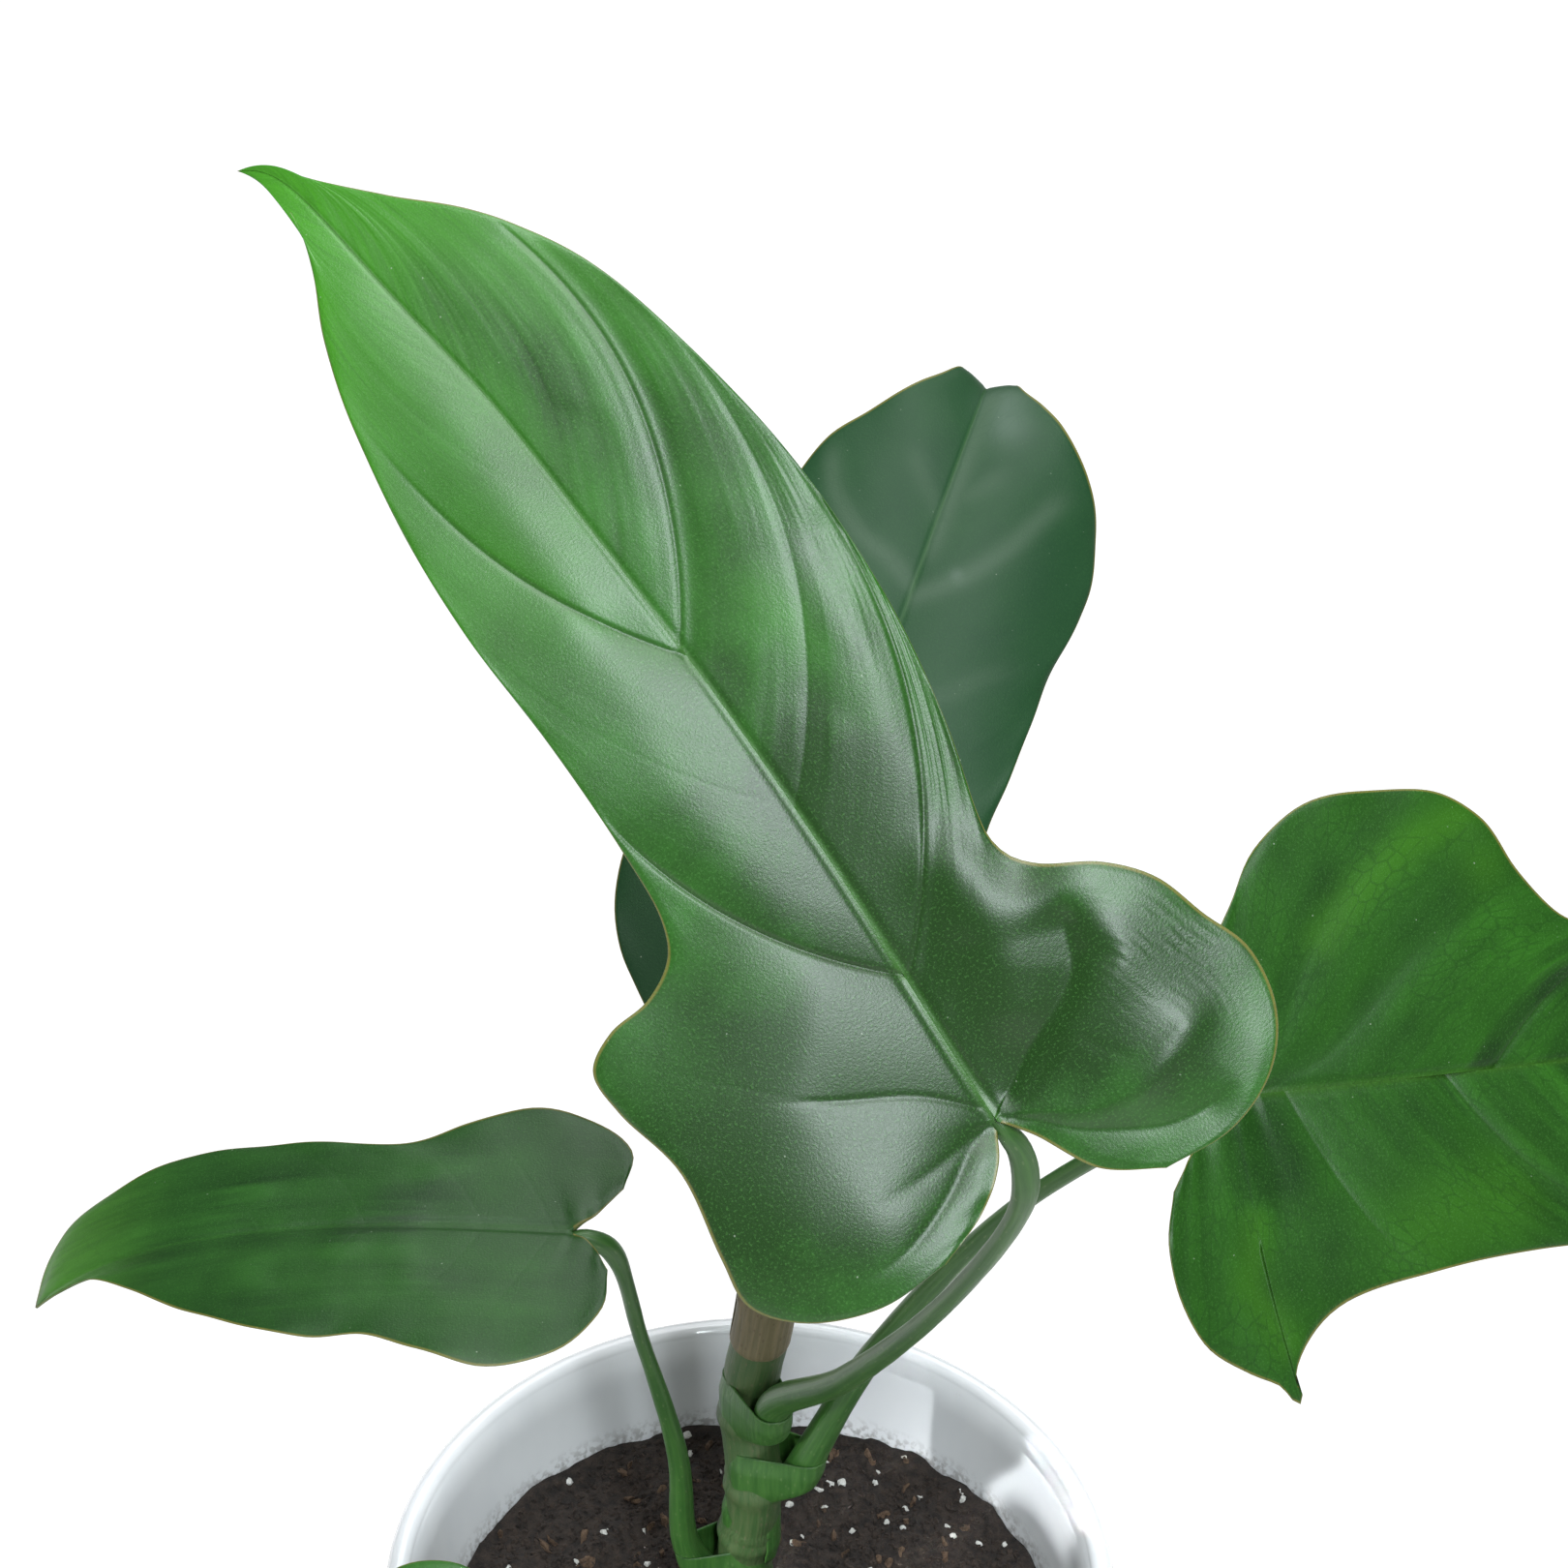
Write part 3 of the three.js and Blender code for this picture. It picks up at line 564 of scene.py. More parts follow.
MAIN_FINISH = LeafFinish(
    deep=(0.007, 0.040, 0.002),
    mid=(0.027, 0.148, 0.011),
    young=(0.048, 0.240, 0.010),
    # Patches below 0 are painted shade that darkens parts of the blade; those above 0 add young green.
    patches=[
        Patch([(-16, 46), (-27, 40)], 7, -0.15), Patch([(-14, 110)], 14, 0.25),
        Patch([(5, 152), (10, 128), (12, 112)], 6, -0.2), Patch([(17, 62), (15, 84)], 4, 0.2),
        Patch([(6, 55), (12, 25), (28, 4)], 16, -0.75), Patch([(-12, 14), (-32, 14)], 20, -0.85),
    ],
    # A band of young green along the left margin, partly painted light through the blade.
    margin_young_and_painted_light=0.45,
    ripples=[Patch([(38, 8)], 10)],
)
RIGHT_FINISH = LeafFinish(
    deep=(0.006, 0.034, 0.003),
    mid=(0.020, 0.098, 0.007),
    young=(0.034, 0.140, 0.005),
    midrib=(0.030, 0.095, 0.008),
    roughness=0.4,
    ior=1.32,
    streaks=0.8,
    specks=0.2,
    net=0.35,
    midrib_show=0.6,
    vale_show=0.25,
    under=(0.045, 0.110, 0.040),
    # Pale yellow-green bands above 0; the patch below 0 darkens the blade near its foot as painted shade.
    patches=[
        Patch([(-25.4, 14.3), (-33.5, 23), (-41, 34.5), (-45, 45)], 3.5, 0.55), Patch([(-36, 48)], 5, 0.35),
        Patch([(22, -4), (32, -7), (42, -1)], 3.5, 0.5), Patch([(26, 28), (22, 44)], 9, 0.35),
        Patch([(4, -3), (14, 1)], 7, -0.4),
    ],
)
BACK_FINISH = LeafFinish(
    deep=(0.009, 0.042, 0.015),
    mid=(0.016, 0.060, 0.020),
    # A pale grey-green painted sheen, which the patches put on the upper blade.
    young=(0.090, 0.130, 0.100),
    under=(0.045, 0.085, 0.048),
    roughness=0.5,
    ior=1.28,
    midrib_show=0.2,
    vein_show=0.1,
    vale_show=0.8,
    young_from=1.2,
    specks=0.05,
    # Patches of painted sheen.
    patches=[Patch([(5, 140), (7, 136)], 5, 0.6), Patch([(7.8, 101.8)], 1.2, 1.2)],
    streaks=0.1,
)
LEFT_FINISH = LeafFinish(
    deep=(0.006, 0.034, 0.004),
    mid=(0.018, 0.080, 0.010),
    young=(0.060, 0.190, 0.022),
    young_from=0.86,
    midrib_show=0.12,
    streaks=0.8,
    ior=1.4,
    lengthwise=True,
    specks=0.12,
)
# The front leaf keeps the young green toward the tip, partly painted light, with one lighter patch and a
# fainter band of it along the left margin.
FRONT_FINISH = replace(MAIN_FINISH, patches=[Patch([(20, 30)], 12, 0.3)], ripples=[], margin_young_and_painted_light=0.2)

LEAVES = [
    Leaf(
        name="main", shape=MAIN_SHAPE, finish=MAIN_FINISH,
        junction=(39, -89, 331), toward=(-0.6, 0.49, 0.63), facing=(0, -0.83, 0.56),
        pitch=[(-30, -8), (0, 3), (60, 2), (120, -5), (165, -12), (195, -34)],
        sway=[
            (-30, 2), (0, 3), (20, 5), (40, 4), (60, 2.5), (80, 1), (100, -0.7), (125, -1), (145, -6.5),
            (170, -4.5), (184, -14), (195, -50),
        ],
        fold=[(0, 8)], cup=[(0, 0.22)],
        stem_height=186, azimuth=-66, base_radius=3.8, end_radius=1.7,
        way=[(18, -36, 226), (36, -70, 280), (44, -86, 314)],
        wave=0.15, row_step=1.9, columns=52,
    ),
    Leaf(
        name="right", shape=RIGHT_SHAPE, finish=RIGHT_FINISH,
        junction=(88, -35, 292), toward=(0.925, 0.345, -0.155), facing=(0.2, -0.73, 0.65),
        pitch=[(-35, -8), (0, 4), (50, 0), (100, -16), (168, -45)],
        sway=[(-35, 0), (0, 1), (50, 0), (110, 4), (168, 6)],
        fold=[(0, 8)], cup=[(0, 0.3)],
        stem_height=168, azimuth=-20, base_radius=3.8, end_radius=1.7,
        way=[(24, -8, 205), (48, -18, 250), (70, -28, 278)],
    ),
    Leaf(
        name="back", shape=BACK_SHAPE, finish=BACK_FINISH,
        junction=(5, 24, 252), toward=(0.3, 0.7, 0.65), facing=(0, -0.68, 0.73),
        pitch=[(-30, -6), (0, 6), (60, 2), (120, -6), (140, -25), (152, -85), (166, -125)],
        sway=[(-30, 0), (0, -4), (60, 0), (120, 2), (166, 0)],
        fold=[(0, 10), (120, 12), (146, 30)], cup=[(0, 0.4), (146, 1.6)],
        stem_height=153, azimuth=86, base_radius=3.6, end_radius=1.6,
        way=[(1, 19, 190), (1.5, 22, 222)],
    ),
    Leaf(
        name="left", shape=LEFT_SHAPE, finish=LEFT_FINISH,
        junction=(-32, -18, 246), toward=(-0.985, 0.03, -0.12), facing=(-0.12, -0.16, 0.98),
        pitch=[(-24, -6), (0, 6), (45, -2), (80, -14), (110, -42)],
        sway=[(-24, 3.2), (0, 3.2), (40, 3.6), (60, 2.2), (110, -3)],
        fold=[(0, 9)], cup=[(0, 0.4)],
        stem_height=140, azimuth=200, base_radius=3.4, end_radius=1.5,
        way=[(-14, -6, 176), (-20, -13, 214)],
    ),
    Leaf(
        name="front", shape=MAIN_SHAPE.turned_over(0.58), finish=FRONT_FINISH,
        junction=(-38, -84, 212), toward=(-0.4, -0.86, -0.3), facing=(-0.12, -0.38, 0.92),
        pitch=[(-20, -6), (0, 6), (40, -6), (80, -26), (112, -46)],
        sway=[(-20, 0), (60, 2), (112, -8)],
        fold=[(0, 9)], cup=[(0, 0.5)],
        stem_height=127, azimuth=-118, base_radius=3.2, end_radius=1.5,
        way=[(-13, -28, 156), (-25, -56, 188)],
    ),
]


class Graph:
    """Short calls for adding nodes to a shader or geometry tree."""

    def __init__(self, tree: bpy.types.NodeTree) -> None:
        """Keeps the tree."""
        self.tree = tree

    def add(self, kind: str, inputs: dict[str | int, Any] | None = None,
            **settings: str | bool) -> bpy.types.Node:
        """Adds a node.

        Args:
            kind: the node's Blender type name.
            inputs: values or sockets by input name or index.
            settings: the node's own settings.

        Returns:
            The new node.
        """
        node = self.tree.nodes.new(kind)
        for key, value in settings.items():
            setattr(node, key, value)
        for key, value in (inputs or {}).items():
            socket = self.socket_of(node, key)
            if isinstance(value, Socket):
                self.tree.links.new(value, socket)
            else:
                socket.default_value = value
        return node

    @staticmethod
    def socket_of(node: bpy.types.Node, key: str | int) -> Socket:
        """Returns a node's input of this index, or its first active one of this name."""
        named = (s for s in node.inputs if s.name == key and s.enabled)
        return node.inputs[key] if isinstance(key, int) else next(named)

    def result(self, kind: str, inputs: dict[str | int, Any] | None = None,
               **settings: str | bool) -> Socket:
        """Adds a node and returns its first output."""
        return self.add(kind, inputs, **settings).outputs[0]

    def math(self, operation: str, first: Value, second: Value = 0.0, clamp: bool = False) -> Socket:
        """Adds a math node and returns its result."""
        inputs = {0: first, 1: second}
        return self.result("ShaderNodeMath", inputs, operation=operation, use_clamp=clamp)

    def times(self, first: Value, second: Value) -> Socket:
        """Returns a product."""
        return self.math("MULTIPLY", first, second)

    def plus(self, first: Value, second: Value, clamp: bool = False) -> Socket:
        """Returns a sum, kept from 0 to 1 with clamp."""
        return self.math("ADD", first, second, clamp)

    def less(self, first: Value, second: Value) -> Socket:
        """Returns a difference."""
        return self.math("SUBTRACT", first, second)


class Shader(Graph):
    """A material under construction, with its Principled shader and object coordinates."""

    def __init__(self, name: str, roughness: float | None = None) -> None:
        """Starts an empty material.

        Args:
            name: the material's name.
            roughness: its roughness, where that is the same all over.
        """
        self.material = bpy.data.materials.new(name)
        self.material.use_nodes = True
        super().__init__(self.material.node_tree)
        self.surface = self.tree.nodes["Principled BSDF"]
        if roughness is not None:
            self.surface.inputs["Roughness"].default_value = roughness
        self.place = self.add("ShaderNodeTexCoord").outputs["Object"]

    def attribute(self, name: str, output: str = "Fac") -> Socket:
        """Returns a mesh attribute as a number, or as a vector with output "Vector"."""
        return self.add("ShaderNodeAttribute", attribute_name=name).outputs[output]

    def stretched(self, vector: Socket, scale: Point) -> Socket:
        """Returns a vector multiplied axis by axis."""
        return self.result("ShaderNodeVectorMath", {0: vector, 1: scale}, operation="MULTIPLY")

    def noise(self, vector: Socket, scale: float, detail: float = 3.0, roughness: float = 0.55) -> Socket:
        """Returns a noise value, 0.5 on average."""
        inputs = {"Vector": vector, "Scale": scale, "Detail": detail, "Roughness": roughness}
        return self.add("ShaderNodeTexNoise", inputs).outputs["Fac"]

    def cells(self, vector: Socket, scale: float, feature: str = "F1") -> Socket:
        """Returns the distance to the nearest cell centre or edge of a random cell pattern."""
        node = self.add("ShaderNodeTexVoronoi", {"Vector": vector, "Scale": scale}, feature=feature)
        return node.outputs["Distance"]

    def step(self, value: Value, low: float, high: float, to_low: float = 0.0,
             to_high: float = 1.0) -> Socket:
        """Returns a smooth step of value between two levels."""
        inputs = {"Value": value, "From Min": low, "From Max": high, "To Min": to_low, "To Max": to_high}
        return self.result("ShaderNodeMapRange", inputs, interpolation_type="SMOOTHSTEP")

    def mix(self, factor: Value, first: Socket | Colour, second: Socket | Colour) -> Socket:
        """Returns a mix of two colours, with factor as the second one's share."""
        one, two = (c if isinstance(c, Socket) else (*c, 1.0) for c in (first, second))
        return self.add("ShaderNodeMix", {0: factor, 6: one, 7: two}, data_type="RGBA").outputs[2]

    def bump(self, height: Socket, distance: float, strength: float, under: Socket | None = None) -> Socket:
        """Returns the normal of a bump, in metres at height 1, over that of an earlier one."""
        inputs = {"Height": height, "Distance": distance, "Strength": strength}
        return self.result("ShaderNodeBump", inputs if under is None else {**inputs, "Normal": under})

    def finish(self, colour: Socket, normal: Socket | None = None,
               roughness: Socket | None = None) -> Material:
        """Connects what varies over the surface.

        Args:
            colour: the base colour.
            normal: the normal, where the surface has bumps.
            roughness: the roughness, where that varies.

        Returns:
            The finished material.
        """
        for name, socket in (("Base Color", colour), ("Normal", normal), ("Roughness", roughness)):
            if socket is not None:
                self.tree.links.new(socket, self.surface.inputs[name])
        return self.material


class Tree(Graph):
    """A geometry node tree with named inputs that ends in real geometry and its material."""

    def __init__(self, name: str) -> None:
        """Starts a tree that takes and gives geometry.

        Args:
            name: the tree's name.
        """
        super().__init__(bpy.data.node_groups.new(name, "GeometryNodeTree"))
        for way in ("INPUT", "OUTPUT"):
            self.tree.interface.new_socket("Geometry", in_out=way, socket_type="NodeSocketGeometry")
        self.entry = self.tree.nodes.new("NodeGroupInput")
        self.exit = self.tree.nodes.new("NodeGroupOutput")
        self.geometry = self.entry.outputs[0]
        self.identifiers: dict[str, str] = {}

    def input(self, name: str, kind: str) -> Socket:
        """Adds a named input to the tree.

        Args:
            name: the input's name.
            kind: its type, such as Float.

        Returns:
            The input's value inside the tree.
        """
        item = self.tree.interface.new_socket(name, in_out="INPUT", socket_type=f"NodeSocket{kind}")
        self.identifiers[name] = item.identifier
        return self.entry.outputs[name]

    def scaled(self, vector: Socket, size: Socket) -> Socket:
        """Returns a vector multiplied by a number."""
        return self.result("ShaderNodeVectorMath", {0: vector, "Scale": size}, operation="SCALE")

    def moved(self, geometry: Socket, offset: Socket) -> Socket:
        """Returns geometry with its points moved."""
        return self.result("GeometryNodeSetPosition", {"Geometry": geometry, "Offset": offset})

    def close(self, geometry: Socket) -> None:
        """Ends the tree with realized instances and the Material input.

        Args:
            geometry: the tree's result.
        """
        real = self.result("GeometryNodeRealizeInstances", {"Geometry": geometry})
        inputs = {"Geometry": real, "Material": self.input("Material", "Material")}
        dressed = self.result("GeometryNodeSetMaterial", inputs)
        self.tree.links.new(dressed, self.exit.inputs[0])

    def bake(self, name: str, source: Mesh, values: dict[str, Any]) -> Object:
        """Runs the tree on a mesh and keeps the result as a plain mesh.

        Args:
            name: the new object's name.
            source: the mesh that enters the tree.
            values: the tree's inputs by name.

        Returns:
            An object with the finished mesh and no modifier.
        """
        obj = bpy.data.objects.new(name, source)
        bpy.context.scene.collection.objects.link(obj)
        modifier = obj.modifiers.new(name, "NODES")
        modifier.node_group = self.tree
        for key, value in values.items():
            modifier[self.identifiers[key]] = value
        depsgraph = bpy.context.evaluated_depsgraph_get()
        mesh = bpy.data.meshes.new_from_object(obj.evaluated_get(depsgraph))
        obj.modifiers.clear()
        obj.data = mesh
        mesh.name = name
        return obj


def mesh_of(name: str, points: Array, faces: Faces, values: Values | None = None) -> Mesh:
    """Makes a smooth mesh from points in millimetres.

    Args:
        name: the mesh's name.
        points: one row a point, in millimetres.
        faces: point numbers of each face.
        values: point attributes, numbers or rows of three.

    Returns:
        The mesh, in metres.
    """
    mesh = bpy.data.meshes.new(name)
    mesh.from_pydata((points * MM).tolist(), [], faces)
    for key, value in (values or {}).items():
        kind, target = ("FLOAT_VECTOR", "vector") if value.ndim == 2 else ("FLOAT", "value")
        layer = mesh.attributes.new(key, kind, "POINT")
        layer.data.foreach_set(target, np.ascontiguousarray(value, np.float32).ravel())
    mesh.shade_smooth()
    mesh.validate()
    return mesh


def welded(points: Array, faces: Faces, values: Values) -> tuple[Array, list[list[int]], Values]:
    """Merges points that lie in one place, and drops faces that close up.

    Args:
        points: one row a point, in millimetres.
        faces: point numbers of each face.
        values: point attributes.

    Returns:
        The merged points, faces and attributes.
    """
    digits = 4
    _, first, number = np.unique(np.round(points, digits), axis=0, return_index=True, return_inverse=True)
    number = number.ravel()
    kept = []
    for face in faces:
        ring = [int(number[i]) for i in face]
        ring = [n for k, n in enumerate(ring) if n != ring[k - 1]]
        if len(set(ring)) >= 3:
            kept.append(ring)
    return points[first], kept, {key: value[first] for key, value in values.items()}


def ring_faces(rings: int, sides: int, flipped: bool = False) -> list[list[int]]:
    """Joins like rings of points, one after another, with faces.

    Args:
        rings: the number of rings.
        sides: the points of each ring.
        flipped: whether the faces point into a tube whose rings rise, instead of out of it.

    Returns:
        The point numbers of each face.
    """
    faces = []
    for i in range(rings - 1):
        for k in range(sides):
            n = (k + 1) % sides
            a, b = i * sides + k, i * sides + n
            faces.append([a, a + sides, b + sides, b] if flipped else [a, b, b + sides, a + sides])
    return faces


def turned(name: str, rings: Array, flipped: bool = False) -> Mesh:
    """Makes a closed mesh from rings of points, the first and last in one place each."""
    points, kept, _ = welded(rings.reshape(-1, 3), ring_faces(*rings.shape[:2], flipped), {})
    return mesh_of(name, points, kept)


def closed_grid(name: str, outer: Array, inner: Array) -> Mesh:
    """Makes a closed thin shell from two like grids of points.

    Args:
        name: the mesh's name.
        outer: outward points by row and column, in millimetres.
        inner: inward points by row and column.

    Returns:
        The shell's mesh.
    """
    rows, columns = outer.shape[:2]
    rings = np.concatenate([outer, inner[:, ::-1]], 1)
    sides = 2 * columns
    last = (rows - 1) * sides
    faces = ring_faces(rows, sides)
    for j in range(columns - 1):
        under = sides - 1 - j
        faces.append([j + 1, j, under, under - 1])
        faces.append([last + j, last + j + 1, last + under - 1, last + under])
    return mesh_of(name, rings.reshape(-1, 3), faces)


def shown(name: str, mesh: Mesh, material: Material) -> Object:
    """Links a mesh into the scene with its material.

    Args:
        name: the new object's name.
        mesh: its mesh.
        material: its finish.

    Returns:
        The object, at the origin.
    """
    mesh.materials.clear()
    mesh.materials.append(material)
    obj = bpy.data.objects.new(name, mesh)
    bpy.context.scene.collection.objects.link(obj)
    return obj


def settle(obj: Object, nodes: Sequence[str] = ()) -> None:
    """Hands a finished piece to the frame.

    Args:
        obj: the piece, at the origin.
        nodes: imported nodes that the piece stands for.
    """
    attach(obj, BODY)
    if nodes:
        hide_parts(*nodes)
    LOG.info("%s: %d faces", obj.name, len(obj.data.polygons))


class BladeHalf:
    """One flat half of a blade: rows run from the midrib or the sinus to the margin."""

    def __init__(self, length: float, drawn: Half) -> None:
        """Measures the half's margin, inner edge and ribs.

        Args:
            length: the midrib's length.
            drawn: the half's outline and ribs.
        """
        self.drawn = drawn
        self.length = length
        self.side = math.copysign(1.0, drawn.margin[-1][0])
        self.margin = MeasuredLine(smooth_line([(0, length), *drawn.margin]))
        sinus = smooth_line([(0, 0), *drawn.sinus, drawn.margin[-1]])
        self.inner = MeasuredLine(np.vstack([[(0, length)], sinus]))
        tip = replace(drawn.ribs[0], start=0, end=0)
        tail = replace(drawn.ribs[-1], start=self.inner.length, end=self.margin.length, bow=0)
        self.ribs = [tip, *drawn.ribs, tail]
        self.starts = np.array([rib.start for rib in self.ribs])

    def read(self, inner: Array, key: str) -> Array:
        """Returns a rib value, blended between the ribs on either side of each row."""
        return np.interp(inner, self.starts, [getattr(rib, key) for rib in self.ribs])

    def points(self, inner: Array, v: Array) -> Array:
        """Places flat points.

        Args:
            inner: distances along the inner edge, one a row.
            v: parts of the way to the margin, one a column.

        Returns:
            Flat points by row and column.
        """
        start = self.inner.at(inner)[:, None]
        stop = self.margin.at(self.read(inner, "end"))[:, None]
        chord = stop - start
        bow = self.read(inner, "bow")[:, None, None] * self.side
        middle = (start + stop) / 2 + bow * np.stack([chord[..., 1], -chord[..., 0]], -1)
        part = v[None, :, None]
        return (1 - part) ** 2 * start + 2 * part * (1 - part) * middle + part**2 * stop


def row_places(half: BladeHalf, other: BladeHalf, step: float) -> tuple[Array, int]:
    """Spaces the rows of one half, closer where the margin turns and beside each rib.

    Args:
        half: the half whose rows are wanted.
        other: the other half, whose ribs meet the same midrib.
        step: the rows' spacing, midrib and margin together, in millimetres.

    Returns:
        Distances along the inner edge, and the number of the row at the petiole.
    """
    fine = 0.02
    fewest = 4
    rib_crowd = 2.6
    rib_reach = 0.9

    def spaced(start: float, stop: float, progress: Array, ribs: Sequence[float]) -> Array:
        """Places rows between two distances.

        Args:
            start: the first row's distance.
            stop: the last row's distance.
            progress: midrib and margin together, at even distances from start to stop.
            ribs: distances at which a row has to lie, with more rows beside it.

        Returns:
            The rows' distances.
        """
        at = np.linspace(start, stop, len(progress))
        pace = np.gradient(progress, at) / step
        for rib in ribs:
            pace = pace * (1 + rib_crowd * hump(at - rib, rib_reach))
        count = np.concatenate([[0], np.cumsum((pace[1:] + pace[:-1]) / 2 * np.diff(at))])
        rows = np.interp(np.linspace(0, count[-1], max(int(count[-1]), fewest) + 1), count, at)
        for rib in ribs:
            rows[np.argmin(abs(rows - rib))] = rib
        rows[0] = start
        rows[-1] = stop
        return rows

    length = half.length
    at = np.linspace(0, length, int(length / fine))
    ribs = [rib.start for rib in (*half.drawn.ribs, *other.drawn.ribs)]
    shared = spaced(0, length, at + (half.read(at, "end") + other.read(at, "end")) / 2, ribs)
    at = np.linspace(length, half.inner.length, int((half.inner.length - length) / fine))
    lobe = spaced(length, half.inner.length, at + half.read(at, "end"), [])
    return np.concatenate([shared, lobe[1:]]), len(shared) - 1


class Sheet:
    """One half of a blade laid flat as a grid of rows and columns, with values for every point.

    They are its flat place, the distances of its row's two ends along the inner edge and the
    margin, its part of the way between them, its row's length, and its distance to the nearest
    free edge. Rows past petiole_row start at the sinus.
    """

    def __init__(self, leaf: Leaf, half: BladeHalf, other: BladeHalf, crowding: float) -> None:
        """Lays out a half.

        Args:
            leaf: the leaf, which gives the rows' spacing and the number of columns.
            half: the half to lay out.
            other: the other half, whose ribs meet the same midrib.
            crowding: how much closer the columns lie near the midrib, 1 for evenly.
        """
        rows, self.petiole_row = row_places(half, other, leaf.row_step)
        v = np.linspace(0, 1, leaf.columns + 1) ** crowding
        self.half = half
        self.flat = half.points(rows, v)
        shape = self.flat.shape[:2]
        self.inner = np.broadcast_to(rows[:, None], shape)
        self.outer = np.broadcast_to(half.read(rows, "end")[:, None], shape)
        self.part = np.broadcast_to(v[None], shape)
        chord = np.linalg.norm(self.flat[:, -1] - self.flat[:, 0], axis=-1)
        self.chord = np.broadcast_to(chord[:, None], shape)
        in_lobe = np.arange(len(rows))[:, None] > self.petiole_row
        self.rim = np.where(in_lobe, np.minimum(self.part, 1 - self.part), 1 - self.part) * self.chord


class BentSurface:
    """Bends flat leaf coordinates into the leaf's place."""

    rise_width = 1.3
    past_tip = 1.5

    def __init__(self, leaf: Leaf) -> None:
        """Follows the bent midrib a millimetre at a time.

        Args:
            leaf: the leaf, whose first pitch knot is where the midrib's line starts.
        """
        self.leaf = leaf
        start = leaf.pitch[0][0]
        stations = np.arange(start, leaf.shape.length + self.past_tip)
        pitch = np.radians(smooth_value(leaf.pitch, stations))
        sway = np.radians(smooth_value(leaf.sway, stations))
        tangent = np.stack([np.sin(sway) * np.cos(pitch), np.cos(sway) * np.cos(pitch), np.sin(pitch)], 1)
        self.across = np.stack([np.cos(sway), -np.sin(sway), np.zeros_like(sway)], 1)
        self.up = np.cross(self.across, tangent)
        centre = np.cumsum(tangent, 0)
        self.centre = centre - centre[int(-start)]
        self.stations = stations

    def along(self, rows: Array, y: Array) -> Array:
        """Reads a per-station vector at places along the midrib."""
        return np.stack([np.interp(y, self.stations, axis) for axis in rows.T], -1)

    def at(self, flat: Array) -> tuple[Array, Array]:
        """Bends flat points.

        Args:
            flat: x and y in the last axis, in millimetres.

        Returns:
            Their places and the upper side's normals, in the plant's frame.
        """
        x, y = flat[..., 0], flat[..., 1]
        width, side = abs(x), np.where(x < 0, -1.0, 1.0)
        fold = np.radians(smooth_value(self.leaf.fold, y))
        cup = np.radians(smooth_value(self.leaf.cup, y))
        slope = fold - cup * width
        reach = (np.sin(fold) - np.sin(slope)) / cup
        rise = (np.cos(slope) - np.cos(fold)) / cup
        across, up = self.along(self.across, y), self.along(self.up, y)
        point = self.along(self.centre, y) + across * (reach * side)[..., None] + up * rise[..., None]
        lean = slope * (1 - hump(width, self.rise_width))
        normal = up * np.cos(lean)[..., None] - across * (side * np.sin(lean))[..., None]
        axes = self.leaf.axes()
        return point @ axes.T + np.array(self.leaf.junction), normal @ axes.T


